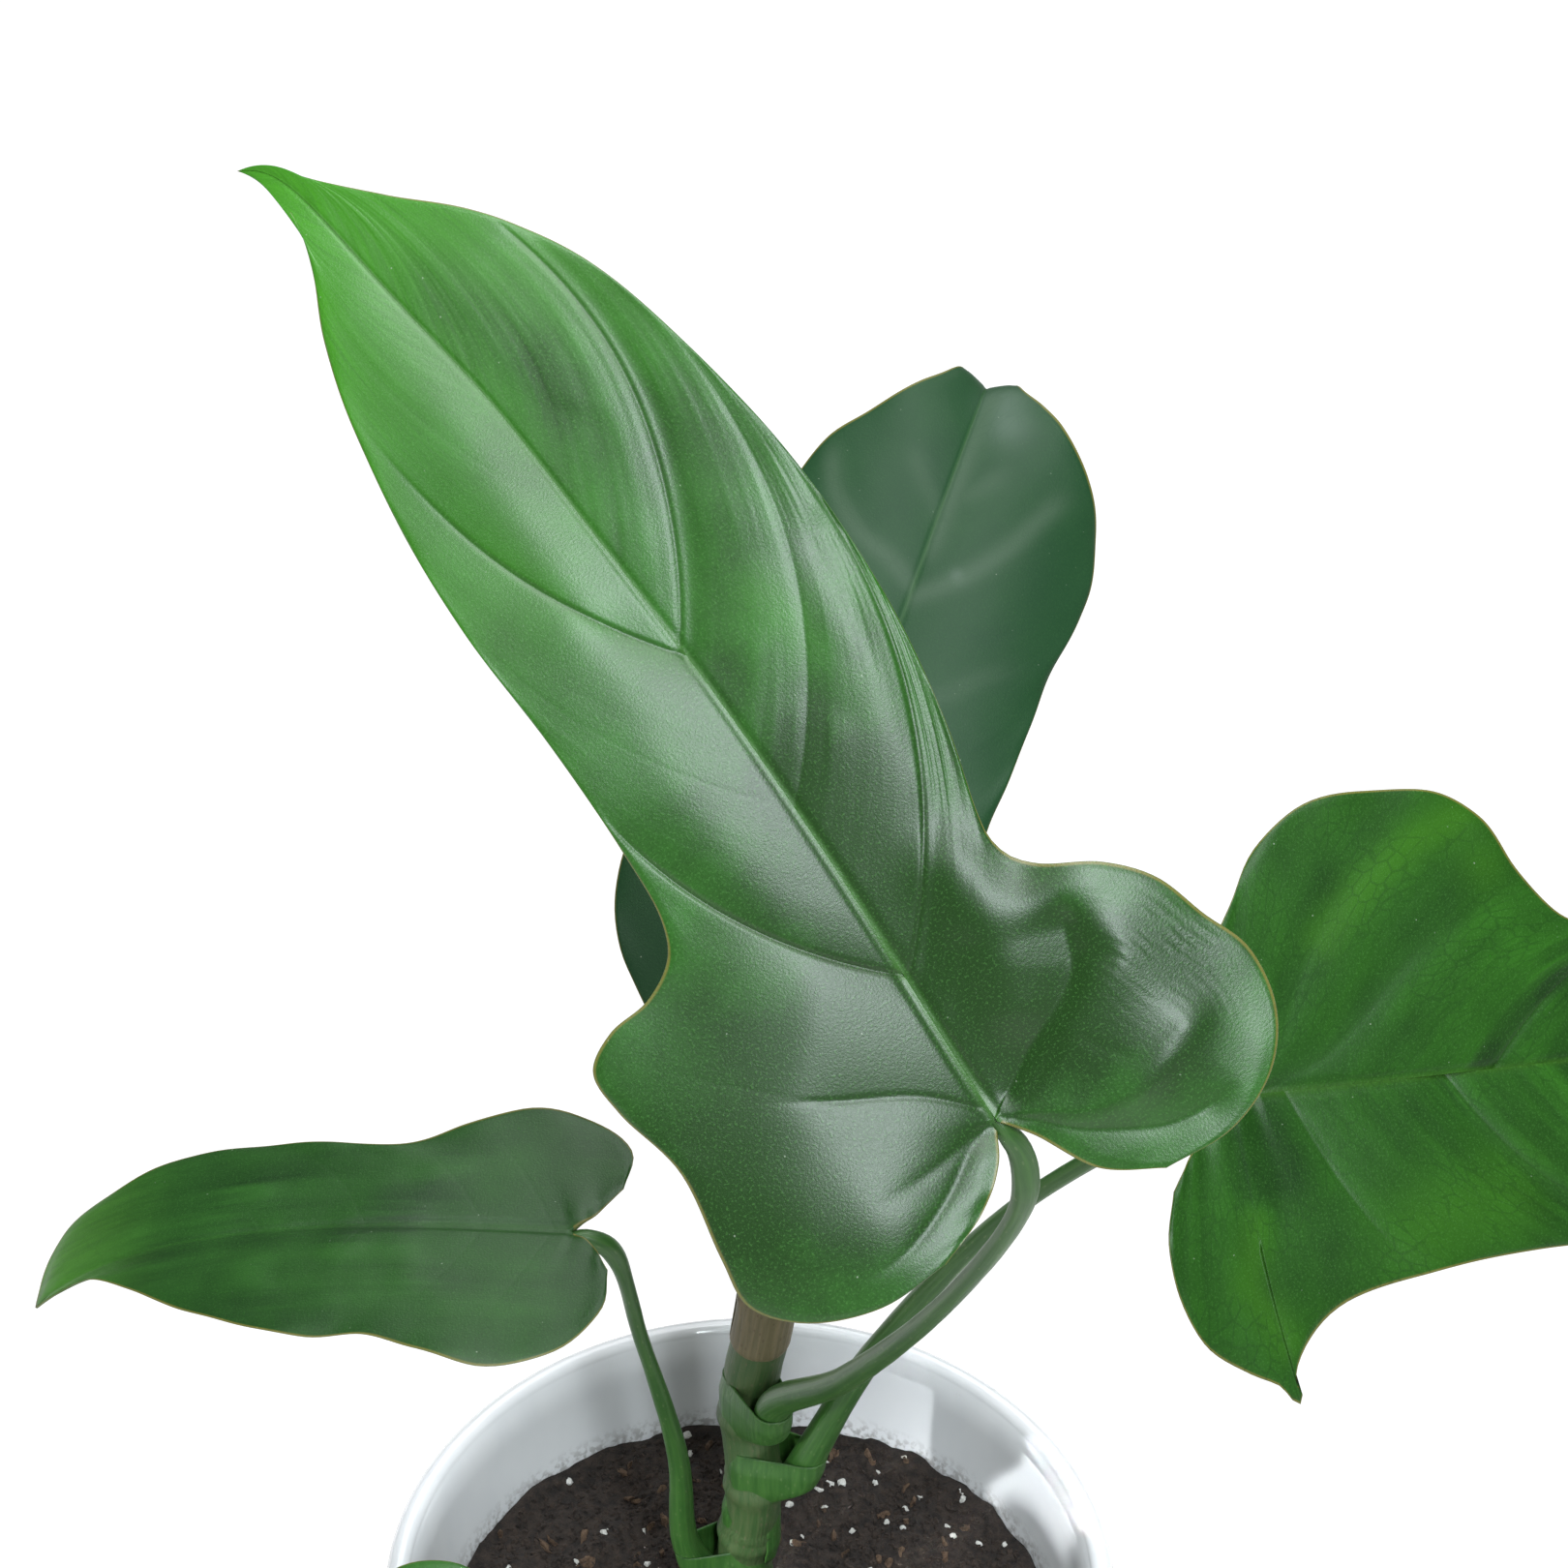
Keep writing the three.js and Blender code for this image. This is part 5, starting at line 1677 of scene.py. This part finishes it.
@dataclass
class Stem:
    """The climbing stem with its nodes, petioles, swollen leaf bases and aerial roots."""

    tree: StalkTree
    line: Sequence[Point] = (
        (0, 0, 66), (0, 0, 92), (0, 0, 117), (-1.5, 1.5, 137), (1, -0.5, 160), (0, 1, 184), (3, -2, 208),
    )
    radius: float = 5.6
    node_swell: float = 0.81
    node_spread: float = 2.2
    node_below: float = 5.0
    scar_above: float = 3.2
    scar_swell: float = 0.45
    scar_spread: float = 0.5
    steps: int = 150
    foot_gap: float = 0.525
    foot_lean: float = math.radians(20)
    foot_run: float = 9.0
    blade_run: float = 6.0
    blade_way: Point = (0, 0.8, 0.6)
    petiole_end: Point = (0, -1.2, -2.2)
    petiole_inside: Point = (0, 0.8, -2.0)
    petiole_steps: int = 110
    taper_pace: float = 1.6
    taper_power: float = 0.6
    knee_swell: float = 0.5
    knee_at: float = 0.92
    knee_spread: float = 0.05
    end_taper: float = 0.35
    end_from: float = 0.97
    base: BaseSizes = BaseSizes()
    roots: Sequence[Root] = (
        Root(60, 123.0, 15, 3.1), Root(150, 120.0, 11, 2.6), Root(255, 134.0, 19, 3.0),
        Root(320, 121.0, 13, 2.4),
    )
    root_sink: float = 1.5
    root_foot: float = 106.0
    stem_section: Section = Section(40, 0.5, 160.0)
    petiole_section: Section = Section(24, 0.18, 120.0)
    root_section: Section = Section(14, 0.5, 500.0)

    @staticmethod
    def resampled(points: Sequence[Sequence[float]], steps: int) -> Array:
        """Returns a smooth line through points as evenly spaced points."""
        line = MeasuredLine(smooth_line(points, 24))
        return line.at(np.linspace(0, line.length, steps + 1))

    def centre_at(self, height: float) -> Array:
        """Returns the stem's centre at a height."""
        way = self.resampled(self.line, 400)
        return np.array([np.interp(height, way[:, 2], axis) for axis in way.T])

    def build_stem(self) -> None:
        """Sweeps the stem, swollen at its nodes with a ring scar above each."""
        way = self.resampled(self.line, self.steps)
        radii = np.full(len(way), self.radius)
        for leaf in LEAVES:
            node = way[:, 2] - leaf.stem_height + self.node_below
            radii += self.node_swell * hump(node, self.node_spread)
            radii += self.scar_swell * hump(node - self.scar_above, self.scar_spread)
        green = STEM_FINISH.material()
        settle(self.tree.sweep("stem_fine", way, radii, self.stem_section, green), ["stem"])

    def petiole_clear(self, leaf: Leaf) -> float:
        """Returns how far a petiole's foot stands from the stem's centre line."""
        return self.radius + self.foot_gap + leaf.base_radius * math.cos(self.foot_lean)

    def petiole_way(self, leaf: Leaf) -> Array:
        """Finds a petiole's centre line.

        Args:
            leaf: the petiole's leaf.

        Returns:
            The line's points, from the stem to just inside the blade's keel.
        """
        axes = leaf.axes()
        junction = np.array(leaf.junction, float)
        end = junction + axes @ np.array(self.petiole_end)
        inside = junction + axes @ np.array(self.petiole_inside)
        before = end - axes @ np.array(self.blade_way) * self.blade_run
        out = compass(leaf.azimuth)
        rising = out * math.sin(self.foot_lean) + np.array([0, 0, math.cos(self.foot_lean)])
        foot = self.centre_at(leaf.stem_height) + out * self.petiole_clear(leaf)
        through = [foot, foot + rising * self.foot_run, *leaf.way, before, end, inside]
        return self.resampled(through, self.petiole_steps)

    def petiole_radii(self, leaf: Leaf) -> Array:
        """Finds a petiole's thickness.

        Args:
            leaf: the petiole's leaf.

        Returns:
            Its radius at each point of its centre line, with the knee near the blade.
        """
        t = np.linspace(0, 1, self.petiole_steps + 1)
        taper = np.minimum(1, t * self.taper_pace) ** self.taper_power
        body = leaf.base_radius + (leaf.end_radius - leaf.base_radius) * taper
        body = body + self.knee_swell * hump(t - self.knee_at, self.knee_spread)
        return body * (1 - self.end_taper * eased(t, self.end_from, 1))

    def leaf_base(self, leaf: Leaf) -> Mesh:
        """Builds the swelling through which a petiole grows out of the stem.

        At each height it wraps the stem's round and a second round that moves out from the stem
        to the petiole.

        Args:
            leaf: the petiole's leaf.

        Returns:
            The swelling's mesh.
        """
        base = self.base
        angles = np.radians(np.linspace(-base.wrap, base.wrap, base.columns))[None]
        levels = np.linspace(0, 1, base.levels)[:, None]
        low = leaf.stem_height - base.below
        height = low + (base.below + base.above) * levels
        leaning = (height - leaf.stem_height) * math.tan(self.foot_lean)
        outward = eased(height, low, leaf.stem_height - base.full_below)
        centre = (self.petiole_clear(leaf) + leaning) * outward
        far = leaf.base_radius / math.cos(self.foot_lean)
        reach = np.full((base.levels, base.columns), self.radius)
        for share in np.linspace(0, 1, base.shares):
            across = (centre * share * np.sin(angles)) ** 2
            room = ((1 - share) * self.radius + share * far) ** 2 - across
            round_here = centre * share * np.cos(angles) + np.sqrt(np.maximum(room, 0))
            reach = np.maximum(reach, np.where(room > 0, round_here, 0))
        reach = reach - base.end_depth
        reach = reach + base.raised * eased(levels, *base.rise) * (1 - eased(levels, *base.fall))
        sunk = eased(np.abs(angles), math.radians(base.side_sink), math.radians(base.wrap))
        reach = reach - base.side_depth * sunk
        middle = self.centre_at(leaf.stem_height)
        bearing = angles + math.radians(leaf.azimuth)
        spin = np.stack([np.cos(bearing), np.sin(bearing)], -1)
        sheets = []
        for radius in (reach, reach - base.thickness):
            xy = middle[:2] + spin * radius[..., None]
            sheets.append(np.concatenate([xy, np.broadcast_to(height, radius.shape)[..., None]], -1))
        mesh = closed_grid(f"leaf_base_{leaf.name}", *sheets)
        first, last = base.grain_line
        StalkTree.mark_around(mesh, np.array([middle + (0, 0, z) for z in range(first, last + 1)]))
        return mesh

    def build_petioles(self) -> None:
        """Sweeps each leaf's petiole and builds its base on the stem."""
        green = PETIOLE_FINISH.material()
        for leaf in LEAVES:
            name = f"petiole_{leaf.name}"
            way, radii = self.petiole_way(leaf), self.petiole_radii(leaf)
            settle(self.tree.sweep(f"{name}_fine", way, radii, self.petiole_section, green),
                   [name])
            settle(shown(f"leaf_base_{leaf.name}", self.leaf_base(leaf), green))

    def build_roots(self) -> None:
        """Sweeps a few aerial roots that leave the lower nodes and enter the soil."""
        brown = ROOT_FINISH.material()
        for number, root in enumerate(self.roots, 1):
            out = compass(root.azimuth)
            start = self.centre_at(root.height) + out * (self.radius - self.root_sink)
            drop = root.height - self.root_foot
            through = [
                start, start + out * 4 + (0, 0, -0.5),
                start + out * root.reach * 0.6 + (1, -1, -drop * 0.35),
                start + out * root.reach + (1, 1, -drop),
            ]
            way = self.resampled(through, 40)
            radii = np.linspace(root.thickness / 2, root.thickness / 2.6, len(way))
            name = f"aerial_root_{number}"
            settle(self.tree.sweep(name, way, radii, self.root_section, brown))

    def build(self) -> None:
        """Builds the stem and all that grows on it."""
        self.build_stem()
        self.build_petioles()
        self.build_roots()


@dataclass
class YoungLeaf:
    """The next leaf, rolled up into a spear, with the papery sheath at its foot."""

    stem: Stem
    offsets: Sequence[Point] = ((1.5, -3.5, 16), (-2, -9, 36), (-6, -15, 54), (-10, -20, 68))
    stem_gap: float = 0.3
    straight: float = 5.0
    steps: int = 90
    sides: int = 48
    girth: float = 4.6
    point_girth: float = 0.5
    girth_power: float = 2.2
    seam_step: float = 0.16
    seam_turns: float = 0.55
    seam_wave: float = 0.05
    seam_full: Range = (0.02, 0.15)
    sheath_length: float = 24.0
    sheath_foot: float = 7.0
    sheath_levels: int = 36
    sheath_columns: int = 64
    sheath_wrap: float = 178.0
    sheath_opening: float = 24.0
    sheath_notch: float = 0.55
    sheath_tears: float = 0.05
    sheath_flare: float = 1.6
    sheath_gap: float = 0.85
    sheath_sink: float = 0.8
    sheath_thickness: float = 0.3

    def way(self) -> Array:
        """Finds the spear's centre line.

        Returns:
            The line's points, from just over the stem's end to the spear's point.
        """
        top = np.array(self.stem.line[-1], float)
        foot = top + (0, 0, self.stem_gap)
        direction = unit(top - self.stem.resampled(self.stem.line, 100)[-2])
        through = [foot, foot + direction * self.straight, *(top + np.array(o) for o in self.offsets)]
        return self.stem.resampled(through, self.steps)

    def girth_at(self, part: Array) -> Array:
        """Returns the spear's radius at parts of its length."""
        return self.girth * (1 - part**self.girth_power) + self.point_girth

    @staticmethod
    def spokes(way: Array, number: Array, angle: Array) -> Array:
        """Finds directions across the centre line.

        Args:
            way: the line's points.
            number: which points of the line.
            angle: angles round the line there.

        Returns:
            The directions, of length 1.
        """
        tangent = unit(np.gradient(way, axis=0))
        first = unit(np.cross(tangent, (0, 1, 0.2)))
        second = np.cross(tangent, first)
        return first[number] * np.cos(angle)[..., None] + second[number] * np.sin(angle)[..., None]

    def build(self) -> None:
        """Builds the spear and its sheath."""
        way = self.way()
        number = np.arange(len(way))[:, None]
        t = np.linspace(0, 1, len(way))[:, None]
        angle = np.linspace(0, 2 * np.pi, self.sides, endpoint=False)[None]
        wrap = (angle / (2 * np.pi) - self.seam_turns * t) % 1.0
        seam = self.seam_step * (wrap - 0.5) + self.seam_wave * np.cos(4 * np.pi * wrap)
        radius = self.girth_at(t) * (1 + seam * eased(t, *self.seam_full))
        rings = way[:, None] + self.spokes(way, number, angle) * radius[..., None]
        ends = np.broadcast_to(way[[0, -1], None, None], (2, 1, *rings.shape[1:]))
        mesh = turned("new_leaf_fine", np.concatenate([ends[0], rings, ends[1]]))
        obj = shown("new_leaf_fine", mesh, YOUNG_FINISH.material())
        StalkTree.mark_around(obj.data, way)
        settle(obj, ["new_leaf"])
        self.build_sheath(way)

    def build_sheath(self, way: Array) -> None:
        """Builds the split papery sheath that grows from the stem's end round the spear's foot.

        Args:
            way: the spear's centre line.
        """
        line = MeasuredLine(way)
        levels = np.linspace(0, 1, self.sheath_levels)[:, None]
        half_wrap = np.radians(self.sheath_wrap - self.sheath_opening * levels)
        angle = np.pi + half_wrap * np.linspace(-1, 1, self.sheath_columns)[None]
        torn = self.sheath_tears * (np.sin(9 * angle) + np.sin(21 * angle + 1))
        rim = 1 - self.sheath_notch * (np.abs(angle - np.pi) / np.pi) ** 2.5 + torn
        height = (self.sheath_foot + self.sheath_length * rim) * levels - self.sheath_foot
        above = np.maximum(height, 0)
        centre = line.at(above) + unit(way[1] - way[0]) * np.minimum(height, 0)[..., None]
        near = np.clip((above / line.length * (len(way) - 1)).astype(int), 0, len(way) - 1)
        flare = self.sheath_flare * levels**3 * (0.6 + 0.4 * np.sin(3 * angle + 0.7))
        flare = flare + self.sheath_gap - self.sheath_sink * (1 - eased(levels, 0, 0.1))
        radius = self.girth_at(above / line.length) + flare
        spokes = self.spokes(way, near, angle)
        outer = centre + spokes * radius[..., None]
        inner = centre + spokes * (radius - self.sheath_thickness)[..., None]
        obj = shown("sheath", closed_grid("sheath", outer, inner), SHEATH_FINISH.material())
        StalkTree.mark_around(obj.data, way)
        settle(obj)


@dataclass
class Pot:
    """The round glazed pot."""

    height: float = 138.0
    rim_radius: float = 75.0
    base_radius: float = 51.0
    wall: float = 5.0
    floor: float = 6.0
    foot_round: float = 1.5
    corner: Sequence[Flat] = ((1.0, 1.2), (4.0, 0.0))
    sides: int = 192
    glaze: tuple[Colour, Colour] = ((0.87, 0.88, 0.90), (0.91, 0.915, 0.93))
    coat: float = 0.5
    coat_roughness: float = 0.06
    dust: Colour = (0.10, 0.07, 0.05)
    dust_below_rim: Range = (24.0, 19.0)

    def slope(self) -> float:
        """Returns how much the wall leans out for each millimetre of height."""
        return (self.rim_radius - self.base_radius) / self.height

    def inner_radius(self, z: float) -> float:
        """Returns the inside radius at a height."""
        return self.rim_radius - self.wall - self.slope() * (self.height - z)

    def profile(self) -> list[Flat]:
        """Draws the wall's section.

        Returns:
            Its radius and height pairs, from the foot's middle round the lip to the floor's.
        """
        lip = self.wall / 2
        edge = self.foot_round
        foot = self.base_radius - edge
        section = [(0.0, 0.0), (self.base_radius * 0.5, 0.0), (foot, 0.0)]
        for angle in np.radians(np.linspace(-75, 0, 6)):
            section.append((foot + edge * math.cos(angle), edge * (1 + math.sin(angle))))
        rise = self.height - lip - edge
        spread = self.rim_radius - self.slope() * lip - self.base_radius
        for part in np.linspace(0.06, 1, 24):
            section.append((self.base_radius + spread * part, edge + rise * part))
        for angle in np.radians(np.linspace(12, 168, 14)):
            section.append((self.rim_radius - lip + lip * math.cos(angle),
                            self.height - lip + lip * math.sin(angle)))
        for z in np.linspace(self.height - lip, self.floor + 5, 20):
            section.append((self.inner_radius(z), z))
        inside = self.inner_radius(self.floor + 4)
        section += [(inside - inward, self.floor + up) for inward, up in self.corner]
        return [*section, (0.0, self.floor)]

    def material(self) -> Material:
        """Dresses the pot in a clear white glaze with a faint pull and a trace of soil inside.

        Returns:
            The pot's material.
        """
        shader = Shader("pot_glaze")
        shader.surface.inputs["Coat Weight"].default_value = self.coat
        shader.surface.inputs["Coat Roughness"].default_value = self.coat_roughness
        pull = shader.noise(shader.stretched(shader.place, (1, 1, 0.5)), 90.0, 2.0)
        grain = shader.noise(shader.place, 700.0, 3.0)
        x, y, z = shader.add("ShaderNodeSeparateXYZ", {0: shader.place}).outputs
        spread = shader.math("SQRT", shader.plus(shader.times(x, x), shader.times(y, y)))
        wall = shader.less(spread, shader.times(z, self.slope()))
        inner, outer = (self.base_radius - self.wall + 1) * MM, (self.base_radius - 2) * MM
        inside = shader.step(wall, inner, outer, 1.0, 0.0)
        low = shader.step(z, *((self.height - below) * MM for below in self.dust_below_rim), 1.0, 0.0)
        dust = shader.times(shader.times(inside, low), shader.step(grain, 0.42, 0.62))
        colour = shader.mix(shader.step(pull, 0.3, 0.7), *self.glaze)
        colour = shader.mix(shader.times(dust, 0.5), colour, self.dust)
        normal = shader.bump(pull, 0.6 * MM, 0.25)
        return shader.finish(colour, normal, shader.step(dust, 0.0, 1.0, 0.12, 0.7))

    def build(self) -> None:
        """Turns the pot on the lathe and hands it over."""
        radius, height = np.array(self.profile()).T[..., None]
        angle = np.linspace(0, 2 * np.pi, self.sides, endpoint=False)
        rings = np.stack([radius * np.cos(angle), radius * np.sin(angle),
                          np.broadcast_to(height, (len(height), self.sides))], -1)
        settle(shown("pot_fine", turned("pot_fine", rings), self.material()), ["pot"])


@dataclass(frozen=True)
class SoilFinish:
    """Colours and roughness of the soil or of the bits on it."""

    name: str
    dark: Colour
    light: Colour
    roughness: float

    def material(self) -> Material:
        """Dresses soil or its bits with two mottled colours and a gritty surface.

        Returns:
            The material.
        """
        shader = Shader(self.name, self.roughness)
        clumps = shader.noise(shader.place, 420.0, 4.0, 0.65)
        grit = shader.noise(shader.place, 2600.0, 3.0, 0.7)
        tone = shader.plus(shader.times(clumps, 0.7), shader.times(grit, 0.3))
        colour = shader.mix(shader.step(tone, 0.36, 0.64), self.dark, self.light)
        normal = shader.bump(clumps, 1.2 * MM, 0.8)
        return shader.finish(colour, shader.bump(grit, 0.5 * MM, 0.8, normal))


@dataclass(frozen=True)
class Scatter:
    """Loose bits that lie on the soil: how many on a square metre, and their sizes."""

    finish: SoilFinish
    density: float
    low: Point
    high: Point
    facets: int
    jitter: float
    seed: int


class ScatterTree:
    """A geometry node tree that scatters rough bits over a ground mesh."""

    lump_scale = 900.0
    lump_size = 0.003

    def __init__(self) -> None:
        """Builds the tree with its Density, Seed, Facets, Smallest, Largest and Roughen inputs."""
        tree = Tree("scatter")
        self.tree = tree
        density = tree.input("Density", "Float")
        seed = tree.input("Seed", "Int")
        facets = tree.input("Facets", "Int")
        smallest = tree.input("Smallest", "Vector")
        largest = tree.input("Largest", "Vector")
        roughen = tree.input("Roughen", "Float")
        inputs = {"Mesh": tree.geometry, "Density": density, "Seed": seed}
        spots = tree.result("GeometryNodeDistributePointsOnFaces", inputs)
        bit = tree.result("GeometryNodeMeshIcoSphere", {"Radius": 1.0, "Subdivisions": facets})
        turn = self.random((-math.pi,) * 3, (math.pi,) * 3, seed)
        size = self.random(smallest, largest, seed)
        inputs = {"Points": spots, "Instance": bit, "Rotation": turn, "Scale": size}
        copies = tree.result("GeometryNodeInstanceOnPoints", inputs)
        real = tree.result("GeometryNodeRealizeInstances", {"Geometry": copies})
        place = tree.result("GeometryNodeInputPosition")
        inputs = {"Vector": place, "Scale": self.lump_scale, "Detail": 1.0}
        lumps = tree.add("ShaderNodeTexNoise", inputs).outputs[1]
        middle = tree.result("ShaderNodeVectorMath", {0: lumps, 1: (0.5, 0.5, 0.5)}, operation="SUBTRACT")
        tree.close(tree.moved(real, tree.scaled(middle, tree.times(roughen, self.lump_size))))

    def random(self, low: Socket | Point, high: Socket | Point, seed: Socket) -> Socket:
        """Returns a random vector between two others."""
        inputs = {0: low, 1: high, "Seed": seed}
        return self.tree.result("FunctionNodeRandomValue", inputs, data_type="FLOAT_VECTOR")

    def scatter(self, bits: Scatter, ground: Mesh) -> Object:
        """Scatters bits.

        Args:
            bits: their sizes and finish.
            ground: the mesh that they lie on.

        Returns:
            All the bits as one plain mesh.
        """
        return self.tree.bake(bits.finish.name, ground, {
            "Density": bits.density, "Seed": bits.seed, "Facets": bits.facets,
            "Smallest": Vector(bits.low) * MM / 2, "Largest": Vector(bits.high) * MM / 2,
            "Roughen": bits.jitter, "Material": bits.finish.material(),
        })


@dataclass
class Soil:
    """The potting soil, with crumbs, bark chips and perlite on its uneven top."""

    pot: Pot
    finish: SoilFinish = SoilFinish("soil_dark", (0.010, 0.007, 0.006), (0.036, 0.025, 0.019), 0.95)
    below_rim: float = 24.0
    rim_gap: float = 0.5
    floor_gap: float = 0.6
    lump: float = 1.1
    dish: float = 0.02
    dish_from: float = 40.0
    waves: Sequence[Flat] = ((0.7, 0.30), (1.3, 0.22), (2.3, 0.16), (3.7, 0.11))
    seed: int = 7
    hole: float = 5.9
    stem_foot: float = 65.7
    bottom: float = 10.3
    rings: int = 90
    sides: int = 240
    bare_inside: int = 2
    bare_outside: int = 3
    bits: Sequence[Scatter] = (
        Scatter(SoilFinish("soil_crumbs", (0.012, 0.008, 0.006), (0.045, 0.030, 0.022), 0.95),
                520000, (0.6, 0.6, 0.5), (1.9, 1.7, 1.3), 1, 0.5, 4),
        Scatter(SoilFinish("bark_chips", (0.05, 0.028, 0.016), (0.14, 0.085, 0.05), 0.85),
                11000, (2.2, 1.2, 0.7), (5.5, 2.6, 1.3), 2, 0.7, 11),
        Scatter(SoilFinish("perlite", (0.55, 0.54, 0.50), (0.78, 0.77, 0.74), 0.9),
                8500, (0.9, 0.9, 0.8), (2.2, 1.9, 1.6), 2, 0.6, 23),
    )

    def top(self, x: Array, y: Array) -> Array:
        """Shapes the soil's uneven top.

        Args:
            x: places to the right.
            y: places to the back.

        Returns:
            The soil's height at those places.
        """
        rng = np.random.default_rng(self.seed)
        height = self.pot.height - self.below_rim
        height = height - self.dish * np.maximum(0, np.hypot(x, y) - self.dish_from)
        height = height + self.lump * np.sin(x * 0.19 + 1.3) * np.cos(y * 0.23 - 0.4)
        height = height + 0.6 * self.lump * np.sin(x * 0.41 - y * 0.37)
        for scale, size in self.waves:
            turn, shift = rng.uniform(0, np.pi), rng.uniform(0, 6, 2)
            a = x * math.cos(turn) + y * math.sin(turn)
            b = y * math.cos(turn) - x * math.sin(turn)
            height = height + size * np.sin(a * scale + shift[0]) * np.sin(b * scale * 1.13 + shift[1])
        return height

    def build(self) -> None:
        """Builds the plug of soil and scatters the loose bits over it."""
        outer = self.pot.inner_radius(self.pot.height - self.below_rim) - self.rim_gap
        low_radius = self.pot.inner_radius(self.bottom) - self.floor_gap
        angle = np.linspace(0, 2 * np.pi, self.sides, endpoint=False)
        radii = np.linspace(self.hole, outer, self.rings)[:, None]
        x, y = radii * np.cos(angle), radii * np.sin(angle)
        tops = np.stack([x, y, self.top(x, y)], -1)

        def level(radius: float, z: float) -> Array:
            """Returns a flat ring."""
            return np.stack([radius * np.cos(angle), radius * np.sin(angle), np.full(self.sides, z)], -1)

        rings = np.stack([
            level(0, self.stem_foot), level(self.hole, self.stem_foot), *tops,
            level(low_radius, self.bottom), level(0, self.bottom),
        ])
        mesh = turned("soil_fine", rings, flipped=True)
        settle(shown("soil_fine", mesh, self.finish.material()), ["soil"])
        open_top = tops[self.bare_inside:-self.bare_outside]
        faces = ring_faces(*open_top.shape[:2], flipped=True)
        tree = ScatterTree()
        for bits in self.bits:
            ground = mesh_of(bits.finish.name + "_ground", open_top.reshape(-1, 3), faces)
            settle(tree.scatter(bits, ground))


@dataclass(frozen=True)
class Softbox:
    """A rectangular studio light that shines within an angle of spread, in degrees."""

    name: str
    at: Point
    aim: Point
    size: tuple[float, float]
    watts: float
    colour: Colour = (0.95, 0.98, 1.0)
    spread: float = 180.0


@dataclass
class Studio:
    """The pale floor, soft lights and camera."""

    camera_at: Point = (7, -467, 647)
    camera_below: float = 34.0
    lens: float = 75.0
    sensor: float = 36.0
    floor_size: float = 9.0
    floor_greys: Range = (0.12, 0.14)
    floor_glow: float = 0.98
    world_colour: Colour = (0.97, 0.985, 1.0)
    world_strength: float = 0.16
    boxes: Sequence[Softbox] = (
        Softbox("key_right", (424, -1710, 2190), (0, -50, 400), (0.30, 1.2), 58.0, (0.88, 0.96, 1.0)),
        Softbox("fill_left", (-1000, -1300, 2300), (0, -50, 400), (1.2, 1.2), 7.0),
        Softbox("top", (100, -100, 1900), (0, 0, 250), (1.0, 1.0), 22.0),
        Softbox("top_back", (200, 1100, 1600), (0, 0, 250), (1.2, 1.2), 12.0),
        Softbox("pot_fill", (-700, -700, 760), (40, 5, 112), (0.06, 0.06), 0.025, spread=5.0),
    )

    def build_floor(self) -> None:
        """Lays the floor at the pot's foot."""
        half = self.floor_size / 2 / MM
        corners = np.array([(-half, -half, 0), (half, -half, 0), (half, half, 0), (-half, half, 0)], float)
        shader = Shader("floor_pale", 0.9)
        shader.surface.inputs["Specular IOR Level"].default_value = 0.0
        shader.surface.inputs["Emission Color"].default_value = (1, 1, 1, 1)
        shader.surface.inputs["Emission Strength"].default_value = self.floor_glow
        grain = shader.noise(shader.place, 3.0, 2.0)
        material = shader.finish(shader.mix(grain, *((grey,) * 3 for grey in self.floor_greys)))
        shown("floor", mesh_of("floor", corners, [[0, 1, 2, 3]]), material)

    def build_lights(self) -> None:
        """Sets the even surroundings and the softboxes."""
        world = bpy.data.worlds.new("surroundings")
        world.use_nodes = True
        background = world.node_tree.nodes["Background"].inputs
        background["Color"].default_value = (*self.world_colour, 1.0)
        background["Strength"].default_value = self.world_strength
        bpy.context.scene.world = world
        for box in self.boxes:
            light = bpy.data.lights.new(box.name, "AREA")
            light.energy = box.watts
            light.color = box.colour
            light.shape = "RECTANGLE"
            light.size, light.size_y = box.size
            light.spread = math.radians(box.spread)
            obj = bpy.data.objects.new(box.name, light)
            at, aim = Vector(box.at) * MM, Vector(box.aim) * MM
            obj.location = at
            obj.rotation_euler = (aim - at).to_track_quat("-Z", "Y").to_euler()
            obj.visible_camera = False
            bpy.context.scene.collection.objects.link(obj)

    def build_camera(self) -> None:
        """Sets the camera at the photograph's viewing angle."""
        camera = bpy.data.cameras.new("camera")
        camera.lens = self.lens
        camera.sensor_width = self.sensor
        obj = bpy.data.objects.new("camera", camera)
        obj.location = Vector(self.camera_at) * MM
        obj.rotation_euler = (math.radians(90 - self.camera_below), 0, 0)
        bpy.context.scene.collection.objects.link(obj)
        bpy.context.scene.camera = obj

    def build(self) -> None:
        """Builds the whole studio."""
        self.build_camera()
        self.build_floor()
        self.build_lights()
        bpy.context.scene.view_settings.view_transform = "Standard"


def main() -> None:
    """Builds the plant, its pot and the studio."""
    logging.basicConfig(level=logging.INFO, format="%(message)s")
    Studio().build()
    pot = Pot()
    pot.build()
    Soil(pot).build()
    stem = Stem(StalkTree())
    stem.build()
    YoungLeaf(stem).build()
    for leaf in LEAVES:
        Blade(leaf).build()


if __name__ == "__main__":
    main()
